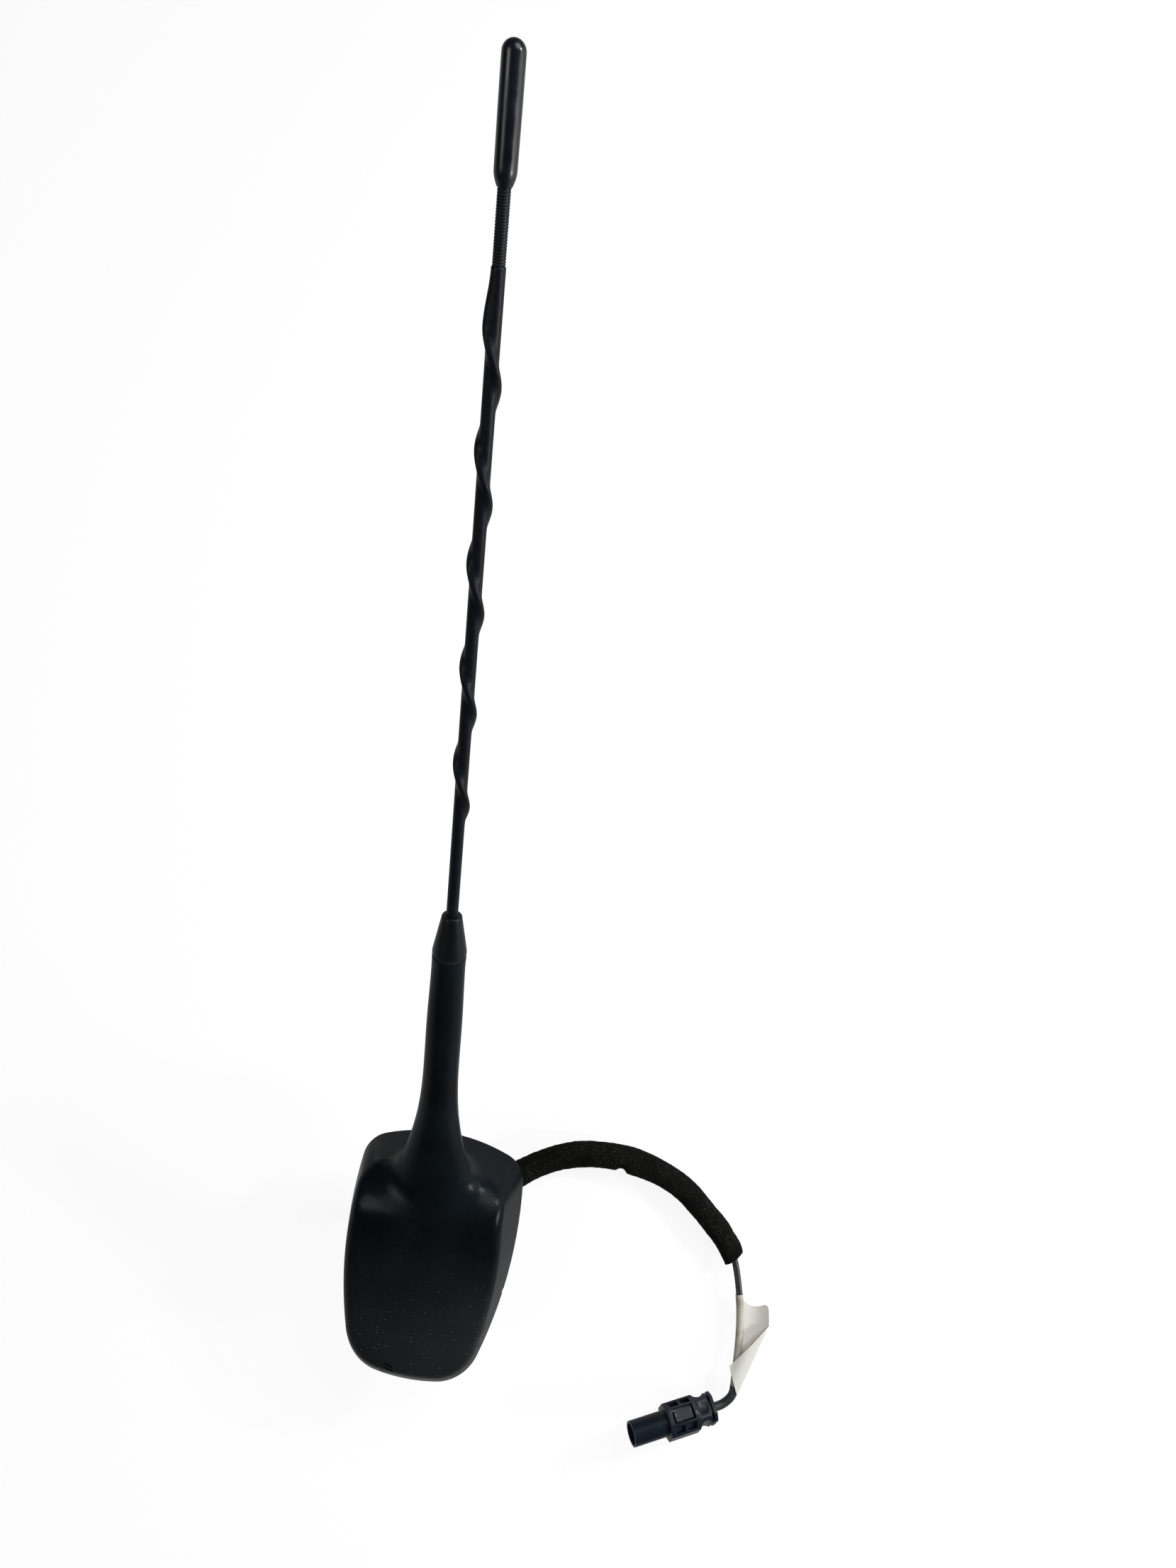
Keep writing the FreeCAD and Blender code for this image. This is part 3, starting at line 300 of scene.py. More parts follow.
@dataclass(frozen=True)
class Foam(Finish):
    """Open-cell polyurethane foam: black, matt, its cut cells catching brown-green dust."""

    dark: str
    fleck: str
    cell: float
    fuzz: float = 0.45
    patch: float = 7.0
    depth: float = 0.5

    def paint(self, tree: Tree, shader: Sockets, place: Socket) -> None:
        """Cells as bump, and pale flecks on their rims.

        Args:
            tree: the material's tree.
            shader: the shader's inputs.
            place: object coordinates.
        """
        cells = add(tree, "ShaderNodeTexVoronoi", {"Vector": place, "Scale": per_mm(self.cell)})
        fuzz = add(tree, "ShaderNodeTexNoise",
                   {"Vector": place, "Scale": per_mm(self.fuzz), "Detail": 5.0, "Roughness": 0.75})
        patch = add(tree, "ShaderNodeTexNoise", {"Vector": place, "Scale": per_mm(self.patch), "Detail": 2.0})
        rim = add(tree, "ShaderNodeMapRange",
                  {"Value": fuzz.outputs["Fac"], "From Min": 0.55, "From Max": 0.72})
        spread = add(tree, "ShaderNodeMapRange",
                     {"Value": patch.outputs["Fac"], "From Min": 0.3, "From Max": 0.65})
        flecks = add(tree, "ShaderNodeMath", {0: rim.outputs[0], 1: spread.outputs[0]}, operation="MULTIPLY")
        tone = add(tree, "ShaderNodeMix", {SHARE: flecks.outputs[0], UNDER: linear(self.dark),
                                           OVER: linear(self.fleck)}, data_type="RGBA")
        height = add(tree, "ShaderNodeMath", {0: cells.outputs["Distance"], 1: fuzz.outputs["Fac"]},
                     operation="ADD")
        bump = add(tree, "ShaderNodeBump",
                   {"Strength": 1.0, "Distance": self.depth * MM, "Height": height.outputs[0]})
        fill(tree, shader, {"Base Color": tone.outputs[MIXED], "Normal": bump.outputs[0], "Roughness": 0.95,
                            "Specular IOR Level": 0.15})


@dataclass(frozen=True)
class LabelPaper(Finish):
    """Coated label paper that has been handled: cream, with grey smudges and soft creases."""

    clean: str
    soiled: str
    smudge: float = 5.0
    fibre: float = 0.5
    crease: float = 3.5
    depth: float = 0.25

    def paint(self, tree: Tree, shader: Sockets, place: Socket) -> None:
        """Smudges in colour, creases and fibre in bump.

        Args:
            tree: the material's tree.
            shader: the shader's inputs.
            place: object coordinates.
        """
        smudge = add(tree, "ShaderNodeTexNoise",
                     {"Vector": place, "Scale": per_mm(self.smudge), "Detail": 6.0, "Roughness": 0.65})
        share = add(tree, "ShaderNodeMapRange",
                    {"Value": smudge.outputs["Fac"], "From Min": 0.46, "From Max": 0.78})
        tone = add(tree, "ShaderNodeMix", {SHARE: share.outputs[0], UNDER: linear(self.clean),
                                           OVER: linear(self.soiled)}, data_type="RGBA")
        fibre = add(tree, "ShaderNodeTexNoise", {"Vector": place, "Scale": per_mm(self.fibre), "Detail": 4.0})
        crease = add(tree, "ShaderNodeTexNoise",
                     {"Vector": place, "Scale": per_mm(self.crease), "Distortion": 1.2})
        height = add(tree, "ShaderNodeMath", {0: crease.outputs["Fac"], 1: fibre.outputs["Fac"]},
                     operation="ADD")
        bump = add(tree, "ShaderNodeBump",
                   {"Strength": 0.35, "Distance": self.depth * MM, "Height": height.outputs[0]})
        fill(tree, shader, {"Base Color": tone.outputs[MIXED], "Normal": bump.outputs[0], "Roughness": 0.62,
                            "IOR": 1.45})


class Working(Enum):
    """How a metal's surface was worked, as the size of its marks along X, Y and Z in millimetres."""

    CAST = (1.2, 1.2, 1.2)
    TURNED = (6.0, 6.0, 0.12)
    ROLLED = (9.0, 0.35, 0.35)
    PLATED = (2.5, 2.5, 2.5)


@dataclass(frozen=True)
class Metal(Finish):
    """A metal with the marks of its working and a thin stain of age."""

    bright: str
    dull: str
    roughness: float
    working: Working
    stain: float = 6.0
    depth: float = 0.05

    def paint(self, tree: Tree, shader: Sockets, place: Socket) -> None:
        """Marks in roughness and bump, stain in colour.

        Args:
            tree: the material's tree.
            shader: the shader's inputs.
            place: object coordinates.
        """
        marks = add(tree, "ShaderNodeMapping",
                    {"Vector": place, "Scale": tuple(per_mm(size) for size in self.working.value)})
        grain = add(tree, "ShaderNodeTexNoise", {"Vector": marks.outputs[0], "Scale": 1.0, "Detail": 5.0})
        stain = add(tree, "ShaderNodeTexNoise", {"Vector": place, "Scale": per_mm(self.stain), "Detail": 4.0})
        share = add(tree, "ShaderNodeMapRange",
                    {"Value": stain.outputs["Fac"], "From Min": 0.4, "From Max": 0.75})
        tone = add(tree, "ShaderNodeMix", {SHARE: share.outputs[0], UNDER: linear(self.bright),
                                           OVER: linear(self.dull)}, data_type="RGBA")
        sheen = add(tree, "ShaderNodeMapRange",
                    {"Value": grain.outputs["Fac"], "From Min": 0.3, "From Max": 0.7,
                     "To Min": self.roughness - 0.08, "To Max": self.roughness + 0.12})
        bump = add(tree, "ShaderNodeBump",
                   {"Strength": 0.4, "Distance": self.depth * MM, "Height": grain.outputs["Fac"]})
        fill(tree, shader, {"Base Color": tone.outputs[MIXED], "Roughness": sheen.outputs[0],
                            "Normal": bump.outputs[0], "Metallic": 1.0})


@dataclass(frozen=True)
class SolderMask(Finish):
    """Green lacquer over etched copper: the tracks show as paler raised bands."""

    bare: str
    track: str
    apart: float = 4.0
    depth: float = 0.04

    def paint(self, tree: Tree, shader: Sockets, place: Socket) -> None:
        """Tracks as a stepped pattern in colour and bump.

        Args:
            tree: the material's tree.
            shader: the shader's inputs.
            place: object coordinates.
        """
        tracks = add(tree, "ShaderNodeTexBrick",
                     {"Vector": place, "Scale": per_mm(self.apart), "Mortar Size": 0.05},
                     offset=0.35, squash=1.6)
        tone = add(tree, "ShaderNodeMix", {SHARE: tracks.outputs["Fac"], UNDER: linear(self.bare),
                                           OVER: linear(self.track)}, data_type="RGBA")
        bump = add(tree, "ShaderNodeBump",
                   {"Strength": 0.6, "Distance": self.depth * MM, "Height": tracks.outputs["Fac"]})
        fill(tree, shader, {"Base Color": tone.outputs[MIXED], "Normal": bump.outputs[0], "Roughness": 0.28,
                            "IOR": 1.52})


# ABS from a grained mould: near black and satin, dusty in front under a painted sheen, with a faint gloss
# that takes small glints.
COVER = MouldedPlastic("grained_ABS_cover", "0B1013", "151C20", 0.34, 0.45, 0.05, specular=0.03, dust=0.9,
                       gloss=0.12)
# Nylon from a satin mould: one soft even highlight down the cone.
FERRULE = MouldedPlastic("satin_nylon_ferrule", "090C10", "11151A", 0.38, 0.4, 0.02, specular=0.2)
# Nylon from a polished mould: long clear bands of light and no grain that the eye can see.
TIP = MouldedPlastic("polished_nylon_tip", "0A0D16", "0F131D", 0.27, 6.0, 0.01, specular=0.5)
# Polyolefin shrunk over a wound ridge: dull black, faintly streaked along the mast.
SHEATH = ShrunkTube("shrunk_polyolefin", "0A0D11", "141920", 0.42, specular=0.16)
# The same skin drawn thin over close wire: a little paler, so that the ribs read.
WINDING = ShrunkTube("skin_over_wire", "090C0F", "171C21", 0.42, specular=0.2)
# Polyurethane foam with cut cells: matt black, flecked with dust.
SLEEVE = Foam("open_cell_foam", "090A09", "77745E", 0.5)
# Extruded PVC: smooth, dark grey and satin.
JACKET = MouldedPlastic("extruded_PVC_jacket", "15181B", "1F2327", 0.42, 0.6, 0.02)
# Thick tube shrunk over the cable's end: greyer and duller than the jacket.
BOOT = MouldedPlastic("shrunk_boot", "1E2124", "292D31", 0.5, 0.6, 0.02)
# Moulded nylon with glass fibre: blue-black and satin, its edges rubbed pale, with painted shade in its
# slots.
PLUG = MouldedPlastic("glass_filled_nylon_plug", "131A23", "1E2733", 0.36, 0.35, 0.02, specular=0.2,
                      wear="7C8288")
# The same nylon where fingers press it: paler edges, painted shade in its gaps and a little more shine.
TONGUE = MouldedPlastic("glass_filled_nylon_tongue", "12181F", "1D2530", 0.36, 0.35, 0.02, specular=0.26,
                        wear="9A9EA2")
# Moulded EPDM: soft black with no sharp highlight.
RUBBER = MouldedPlastic("EPDM_rubber", "111213", "1B1C1D", 0.7, 0.5, 0.03, specular=0.3)
# Moulded epoxy: flat dark grey.
CHIP = MouldedPlastic("epoxy_chip", "131313", "1E1E1E", 0.6, 0.3, 0.02)
# Machined PTFE: waxy off-white.
INSULATOR = MouldedPlastic("PTFE_insulator", "D9D8D0", "E8E7E0", 0.5, 0.5, 0.02)
# Pultruded glass fibre in resin: straw-coloured with a slight gloss.
ROD = MouldedPlastic("pultruded_glass_fibre", "A89F7E", "C2B998", 0.35, 0.3, 0.02)
# Coated paper: cream white, smudged by handling.
PAPER = LabelPaper("label_paper", "E4DFCE", "ADA78F")
# The same paper pressed tight round the cable: greyer and creased.
PAPER_BACK = LabelPaper("label_paper_creased", "CBC7B8", "8C8672")
# Aged glue at the paper's cut edges: a thin brown line.
GLUE = LabelPaper("label_edge_glue", "8F8468", "6E634B")
# Aluminium as cast: grey, with a coarse soft sparkle.
ALLOY = Metal("cast_aluminium", "B9BBBD", "8E9092", 0.5, Working.CAST)
# Steel under bright zinc: pale, with a clouded gloss.
ZINC = Metal("zinc_plated_steel", "C3C5C8", "9A9CA0", 0.34, Working.PLATED)
# Tinned steel sheet: bright, with fine lines from rolling.
TIN = Metal("tinned_steel", "D3D3D0", "B0B0AC", 0.3, Working.ROLLED)
# Copper wire in clear enamel: warm orange with darker turns.
COPPER = Metal("enamelled_copper", "C97A48", "8E4B2A", 0.3, Working.TURNED)
# Brass from the lathe: yellow, with fine rings.
BRASS = Metal("turned_brass", "D4B35C", "A8863C", 0.3, Working.TURNED)
# Lacquer over etched copper: glossy green with paler tracks.
BOARD = SolderMask("solder_mask", "0E4A26", "1C6B3A")

Outfit = tuple[tuple[str, Finish], ...]


def only(thing: Thing) -> None:
    """Make one object the only selected and the active one.

    Args:
        thing: the object.
    """
    bpy.ops.object.select_all(action="DESELECT")
    thing.hide_set(False)
    thing.select_set(True)
    bpy.context.view_layer.objects.active = thing


@contextmanager
def editing(thing: Thing) -> Iterator[None]:
    """Work on one object in edit mode.

    Args:
        thing: the mesh object.
    Returns:
        A context that leaves edit mode at its end.
    """
    only(thing)
    bpy.ops.object.mode_set(mode="EDIT")
    try:
        yield
    finally:
        bpy.ops.object.mode_set(mode="OBJECT")


def started(name: str) -> Thing:
    """Name the primitive that was just added, and its mesh.

    Args:
        name: the piece's name.
    Returns:
        The new object.
    """
    thing = bpy.context.active_object
    thing.name = name
    thing.data.name = name
    return thing


def modified(thing: Thing, kind: str, **settings: object) -> None:
    """Add a modifier with its settings and apply it.

    Args:
        thing: the object.
        kind: the modifier's type name.
        settings: the modifier's properties.
    """
    only(thing)
    made = thing.modifiers.new(kind.title(), kind)
    for name, value in settings.items():
        setattr(made, name, value)
    bpy.ops.object.modifier_apply(modifier=made.name)


def smooth(thing: Thing, degrees: float = 35) -> None:
    """Shade smooth, with edges sharper than an angle kept crisp."""
    only(thing)
    bpy.ops.object.shade_smooth_by_angle(angle=math.radians(degrees))


def settled(thing: Thing) -> None:
    """Apply the object's place, turn and scale to its mesh."""
    only(thing)
    bpy.ops.object.transform_apply(location=True, rotation=True, scale=True)


def stood_on_mast(thing: Thing) -> None:
    """Lay a piece that was built upright, with the joint at the origin, along the mast."""
    thing.matrix_world = Matrix.Translation(JOINT) @ Matrix.Rotation(-LEAN, 4, "X")
    settled(thing)


def dressed(thing: Thing, finish: Finish) -> None:
    """Give an object one finish."""
    thing.data.materials.clear()
    thing.data.materials.append(finish.material())


def dressed_nodes(outfit: Outfit) -> None:
    """Give CAD nodes that keep their own shape their finishes.

    Args:
        outfit: pairs of a node's name and its finish.
    """
    for node, finish in outfit:
        dressed(frame["nodes"][node], finish)
        LOG.info("%s in %s", node, finish.name)


def standing_in(thing: Thing, finish: Finish | None, body: str, slot: str, *nodes: str) -> Thing:
    """Finish a piece and let it stand for its CAD nodes.

    Args:
        thing: the finished mesh or curve.
        finish: its material, or None where the piece already has its materials.
        body: the body that it rides on.
        slot: the record's material slot; not used.
        nodes: the CAD nodes that it stands for.
    Returns:
        The same object.
    """
    if finish:
        dressed(thing, finish)
    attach(thing, body)
    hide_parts(*nodes)
    LOG.info("%s stands for %s", thing.name, ", ".join(nodes))
    return thing


# A copied node's corners within WELD millimetres are merged. Where its edges are rounded, faces within FLAT
# degrees become one first, and edges sharper than SHARP degrees get the rounding.
WELD, FLAT, SHARP = 0.001, 3, 32


def copied(node: str, name: str, bevel: float = 0.0) -> Thing:
    """Copy a CAD node's mesh, merge its loose triangles and round its sharp edges.

    Args:
        node: the CAD node.
        name: the copy's name.
        bevel: the width of the rounding in millimetres, or 0 for none.
    Returns:
        The copy, with its own mesh and no parent.
    """
    only(frame["nodes"][node])
    bpy.ops.object.duplicate()
    thing = started(name)
    # The node's own keys say which CAD piece it is, and the copy is a piece of the scene.
    for key in list(thing.keys()):
        del thing[key]
    thing.parent = None
    with editing(thing):
        bpy.ops.mesh.select_all(action="SELECT")
        bpy.ops.mesh.remove_doubles(threshold=WELD * MM)
        if bevel:
            bpy.ops.mesh.dissolve_limited(angle_limit=math.radians(FLAT))
    if bevel:
        modified(thing, "BEVEL", width=bevel * MM, segments=2, limit_method="ANGLE",
                 angle_limit=math.radians(SHARP), use_clamp_overlap=True, harden_normals=False)
    smooth(thing)
    return thing


def turned(name: str, outline: Sequence[tuple[float, float]], sides: int) -> Thing:
    """Turn a closed piece: a ring is extruded and scaled from each outline point to the next.

    Args:
        name: the piece's name.
        outline: radius and height pairs in millimetres, from the foot up.
        sides: how many sides the ring has.
    Returns:
        The upright piece.
    """
    radius, height = outline[0]
    bpy.ops.object.select_all(action="DESELECT")
    bpy.ops.mesh.primitive_circle_add(vertices=sides, radius=radius * MM, fill_type="NGON",
                                      location=(0, 0, height * MM))
    thing = started(name)
    settled(thing)
    with editing(thing):
        bpy.ops.mesh.select_all(action="SELECT")
        for wide, high in outline[1:]:
            bpy.ops.mesh.extrude_region_move(TRANSFORM_OT_translate={"value": (0, 0, (high - height) * MM)})
            share = wide / radius
            bpy.ops.transform.resize(value=(share, share, 1), center_override=(0, 0, high * MM))
            radius, height = wide, high
        bpy.ops.mesh.select_all(action="SELECT")
        bpy.ops.mesh.normals_make_consistent(inside=False)
    smooth(thing, degrees=40)
    return thing


@dataclass
class Foot:
    """The moulded cover and what clamps it to the roof, in millimetres and degrees."""

    body: str = "base"
    rim_round: float = 0.35
    slit_size: tuple[float, float, float] = (3.4, 0.6, 1.6)
    slit_turn: float = -15.0
    slit_wall: float = 0.7
    slit_places: tuple[tuple[float, float], ...] = ((-6.1, -39.2), (-5.7, -40.8))
    above_cover: float = 100.0
    plain: Outfit = (("roof_gasket", RUBBER), ("cover_screws", ZINC), ("cable_grommet", RUBBER),
                     ("cable_tail", JACKET))

    def slit(self, cover: Thing, across: float, along: float) -> None:
        """Press one short slit into the cover's front, from above.

        Args:
            cover: the cover's copy.
            across: the slit's X in millimetres.
            along: the slit's Y in millimetres.
        """
        bpy.ops.object.select_all(action="DESELECT")
        above = Vector((across, along, self.above_cover)) * MM
        bpy.ops.mesh.primitive_cube_add(size=MM, location=cover.ray_cast(above, DOWN)[1],
                                        rotation=(0, 0, math.radians(self.slit_turn)))
        cutter = started("slit_cutter")
        cutter.scale = self.slit_size
        settled(cutter)
        modified(cover, "BOOLEAN", operation="DIFFERENCE", solver="EXACT", object=cutter)
        bpy.data.objects.remove(cutter)

    def cover(self) -> Thing:
        """Copy the cover and cut its slits, with the shading of the uncut surface kept around them.

        Returns:
            The cover in place.
        """
        shell = copied("housing_cover", "cover_shell")
        for across, along in self.slit_places:
            self.slit(shell, across, along)
        smooth(shell)
        # The cuts divide long triangles, whose new normals would show as stripes, so the CAD node's are used.
        modified(shell, "DATA_TRANSFER", object=frame["nodes"]["housing_cover"], use_loop_data=True,
                 data_types_loops={"CUSTOM_NORMAL"}, loop_mapping="POLYINTERP_NEAREST")
        mesh = shell.data
        corners = [corner.vector.copy() for corner in mesh.corner_normals]
        # A normal that leans too far from its face (by cosine) is on a slit's wall, which shades flat.
        for face in mesh.polygons:
            for loop in face.loop_indices:
                if corners[loop].dot(face.normal) < self.slit_wall:
                    corners[loop] = face.normal.copy()
        mesh.normals_split_custom_set(corners)
        return shell

    def build(self) -> None:
        """Cut the cover's slits, round the plate's edges and dress the foot's other pieces."""
        standing_in(self.cover(), COVER, self.body, "cover_plastic", "housing_cover")
        plate = copied("base_plate", "stud_plate", self.rim_round)
        standing_in(plate, ALLOY, self.body, "cast_alloy", "base_plate")
        dressed_nodes(self.plain)


@dataclass
class Amplifier:
    """The board under the cover and the feed up the neck."""

    plain: Outfit = (("amplifier_board", BOARD), ("board_screws", ZINC), ("shield_can", TIN),
                     ("filter_coils", COPPER), ("amplifier_chips", CHIP), ("feed_clip", BRASS),
                     ("feed_rod", BRASS), ("mast_socket", BRASS))

    def build(self) -> None:
        """Dress the hidden pieces."""
        dressed_nodes(self.plain)


@dataclass
class Mast:
    """The screw-in whip: ferrule, ridged sheath, wound section and tip, in millimetres above the joint.

    The sheath's end lip holds a rise and a share of the last ring for each step. The tip's taper holds radius
    and height pairs above its foot.
    """

    body: str = "mast"
    sides: int = 48
    sheath_radius: float = 1.9
    sheath_foot: float = 12.0
    sheath_end: float = 205.0
    sheath_lip: tuple[tuple[float, float], ...] = ((0.12, 0.94), (-0.05, 0.8))
    ridge_out: float = 1.15
    ridge_half_angle: float = 34.0
    ridge_start: float = 44.0
    ridge_stop: float = 205.0
    ridge_ramp: float = 7.0
    ridge_straight: float = 191.0
    ridge_pitch: float = 30.6
    ridge_angle: float = 78.0
    ridge_angle_at: float = 48.0
    ring_step: float = 1.0
    wire_pitch: float = 0.7
    wire_radius: float = 1.72
    wire_valley: float = 1.58
    wire_tuck: float = 0.5
    wire_parts: int = 6
    wire_sides: int = 28
    wire_weld: float = 0.002
    winding_end: float = 222.6
    tip_tuck: float = 0.1
    tip_taper: tuple[tuple[float, float], ...] = (
        (1.65, 0.0), (1.9, 0.1), (2.25, 0.9), (2.57, 1.8), (2.75, 2.5), (2.85, 3.1), (2.89, 4.0), (2.9, 8.0),
        (2.95, 16.0))
    tip_radius: float = 2.95
    tip_end: float = 253.3
    crown_rings: int = 9
    crown_step: float = 10.8
    plain: Outfit = (("mast_seal", RUBBER), ("mast_stud", ZINC), ("mast_rod", ROD))

    def build(self) -> None:
        """Model the mast's outer pieces and dress the hidden ones."""
        standing_in(self.sheath(), SHEATH, self.body, "sheath_plastic", "mast_sheath")
        standing_in(self.winding(), WINDING, self.body, "winding_enamel", "mast_winding")
        standing_in(self.tip(), TIP, self.body, "tip_plastic", "mast_tip")
        ferrule = copied("mast_ferrule", "ferrule_cone")
        standing_in(ferrule, FERRULE, self.body, "ferrule_plastic", "mast_ferrule")
        dressed_nodes(self.plain)

    def ridge_radius(self, angle: float, height: float) -> float:
        """Radius of the sheath, with its ridge, in one direction at one height.

        Args:
            angle: direction about the mast in degrees.
            height: millimetres above the joint.
        Returns:
            The radius in millimetres.
        """
        wound = min(height, self.ridge_straight) - self.ridge_angle_at
        off = (angle - self.ridge_angle + 360 * wound / self.ridge_pitch + 180) % 360 - 180
        ends = min((height - self.ridge_start) / self.ridge_ramp,
                   (self.ridge_stop - height) / (self.ridge_stop - self.ridge_straight))
        swell = 0.5 - 0.5 * math.cos(math.pi * min(max(ends, 0), 1))
        return self.sheath_radius + self.ridge_out * swell * math.exp(-(off / self.ridge_half_angle) ** 2)

    def sheath(self) -> Thing:
        """Draw a ring up the mast, let it swell where the ridge passes, and turn its end in.

        Returns:
            The sheath in place.
        """
        bpy.ops.object.select_all(action="DESELECT")
        bpy.ops.mesh.primitive_circle_add(vertices=self.sides, radius=self.sheath_radius * MM,
                                          location=(0, 0, self.sheath_foot * MM))
        thing = started("ridged_sheath")
        settled(thing)
        steps = round((self.sheath_end - self.sheath_foot) / self.ring_step)
        rise = (self.sheath_end - self.sheath_foot) / steps
        with editing(thing):
            bpy.ops.mesh.select_all(action="SELECT")
            for step in range(1, steps + 1):
                bpy.ops.mesh.extrude_region_move(TRANSFORM_OT_translate={"value": (0, 0, rise * MM)})
                height = self.sheath_foot + step * rise
                mesh = bmesh.from_edit_mesh(thing.data)
                for corner in mesh.verts:
                    if corner.select:
                        angle = math.degrees(math.atan2(corner.co.y, corner.co.x))
                        reach = self.ridge_radius(angle, height) * MM
                        corner.co.xy = corner.co.xy.normalized() * reach
                bmesh.update_edit_mesh(thing.data)
            for up, share in self.sheath_lip:
                bpy.ops.mesh.extrude_region_move(TRANSFORM_OT_translate={"value": (0, 0, up * MM)})
                bpy.ops.transform.resize(value=(share, share, 1))
            bpy.ops.mesh.select_all(action="SELECT")
            bpy.ops.mesh.normals_make_consistent(inside=False)
        smooth(thing, degrees=50)
        stood_on_mast(thing)
        return thing

    def winding(self) -> Thing:
        """Screw one rib of the wound section up to the tip.

        Returns:
            The ribbed section in place.
        """
        start = self.sheath_end - self.wire_tuck
        ribs = round((self.winding_end - start) / self.wire_pitch)
        bpy.ops.object.select_all(action="DESELECT")
        bpy.ops.mesh.primitive_plane_add(size=2 * MM)
        thing = started("wound_section")
        with editing(thing):
            # The plane shrinks to one corner, which is then drawn out into the rib's outline.
            bpy.ops.mesh.select_all(action="SELECT")
            bpy.ops.mesh.delete(type="ONLY_FACE")
            bpy.ops.mesh.select_all(action="SELECT")
            bpy.ops.mesh.merge(type="CENTER")
            mesh = bmesh.from_edit_mesh(thing.data)
            mesh.verts.ensure_lookup_table()
            mesh.verts[0].co = (self.wire_valley * MM, 0, start * MM)
            bmesh.update_edit_mesh(thing.data)
            parts = self.wire_parts
            up = self.wire_pitch / parts * MM
            for part in range(1, parts + 1):
                bulge = math.sin(math.pi * part / parts) - math.sin(math.pi * (part - 1) / parts)
                out = (self.wire_radius - self.wire_valley) * bulge * MM
                bpy.ops.mesh.extrude_vertices_move(TRANSFORM_OT_translate={"value": (out, 0, up)})
        modified(thing, "SCREW", axis="Z", angle=2 * math.pi, screw_offset=self.wire_pitch * MM,
                 iterations=ribs, steps=self.wire_sides, render_steps=self.wire_sides,
                 use_merge_vertices=True, use_normal_calculate=True)
        with editing(thing):
            bpy.ops.mesh.select_all(action="SELECT")
            bpy.ops.mesh.remove_doubles(threshold=self.wire_weld * MM)
            bpy.ops.mesh.normals_make_consistent(inside=False)
        smooth(thing, degrees=70)
        stood_on_mast(thing)
        return thing

    def tip(self) -> Thing:
        """Turn the bulb: a short taper, a long barrel and a round crown.

        Returns:
            The tip in place.
        """
        foot = self.winding_end - self.tip_tuck
        outline = [(radius, foot + height) for radius, height in self.tip_taper]
        crown = self.tip_end - self.tip_radius
        for ring in range(self.crown_rings):
            turn = math.radians(ring * self.crown_step)
            outline.append((self.tip_radius * math.cos(turn), crown + self.tip_radius * math.sin(turn)))
        thing = turned("tip_bulb", outline, self.sides)
        stood_on_mast(thing)
        return thing


@dataclass
class Plug:
    """The coaxial plug at the cable's end, in millimetres."""

    body: str = "base"
    edge_round: float = 0.2
    plain: Outfit = (("plug_lock", TONGUE), ("plug_contact", BRASS), ("plug_insulator", INSULATOR),
                     ("plug_pin", BRASS))
    shell: Thing | None = None

    def build(self) -> None:
        """Round the housing's edges and dress the plug's other pieces."""
        self.shell = copied("plug_housing", "plug_shell", self.edge_round)
        standing_in(self.shell, PLUG, self.body, "plug_plastic", "plug_housing")
        dressed_nodes(self.plain)

    def pieces(self) -> list[Thing]:
        """The plug's pieces, which follow the cable."""
        return [self.shell, *(frame["nodes"][node] for node, _ in self.plain)]


# Control points of the cable's route, as in the part's source, in millimetres.
CABLE_ROUTE = (
    (0, 0, -12.7), (0, 0, -20.5), (6.5, 6.5, -27), (18.7, 23.1, -27), (40.5, 39.5, -27), (64.9, 43.8, -27),
    (89.6, 38.3, -27), (104.9, 26.1, -27), (114.4, 17, -27), (118.2, 9, -27.1), (122, -6.5, -27.2),
    (123.2, -20.2, -27.4), (123.3, -30.8, -27.6), (123.8, -37.3, -27.6), (120.5, -41.3, -27.2),
    (115.9, -43, -25.4))


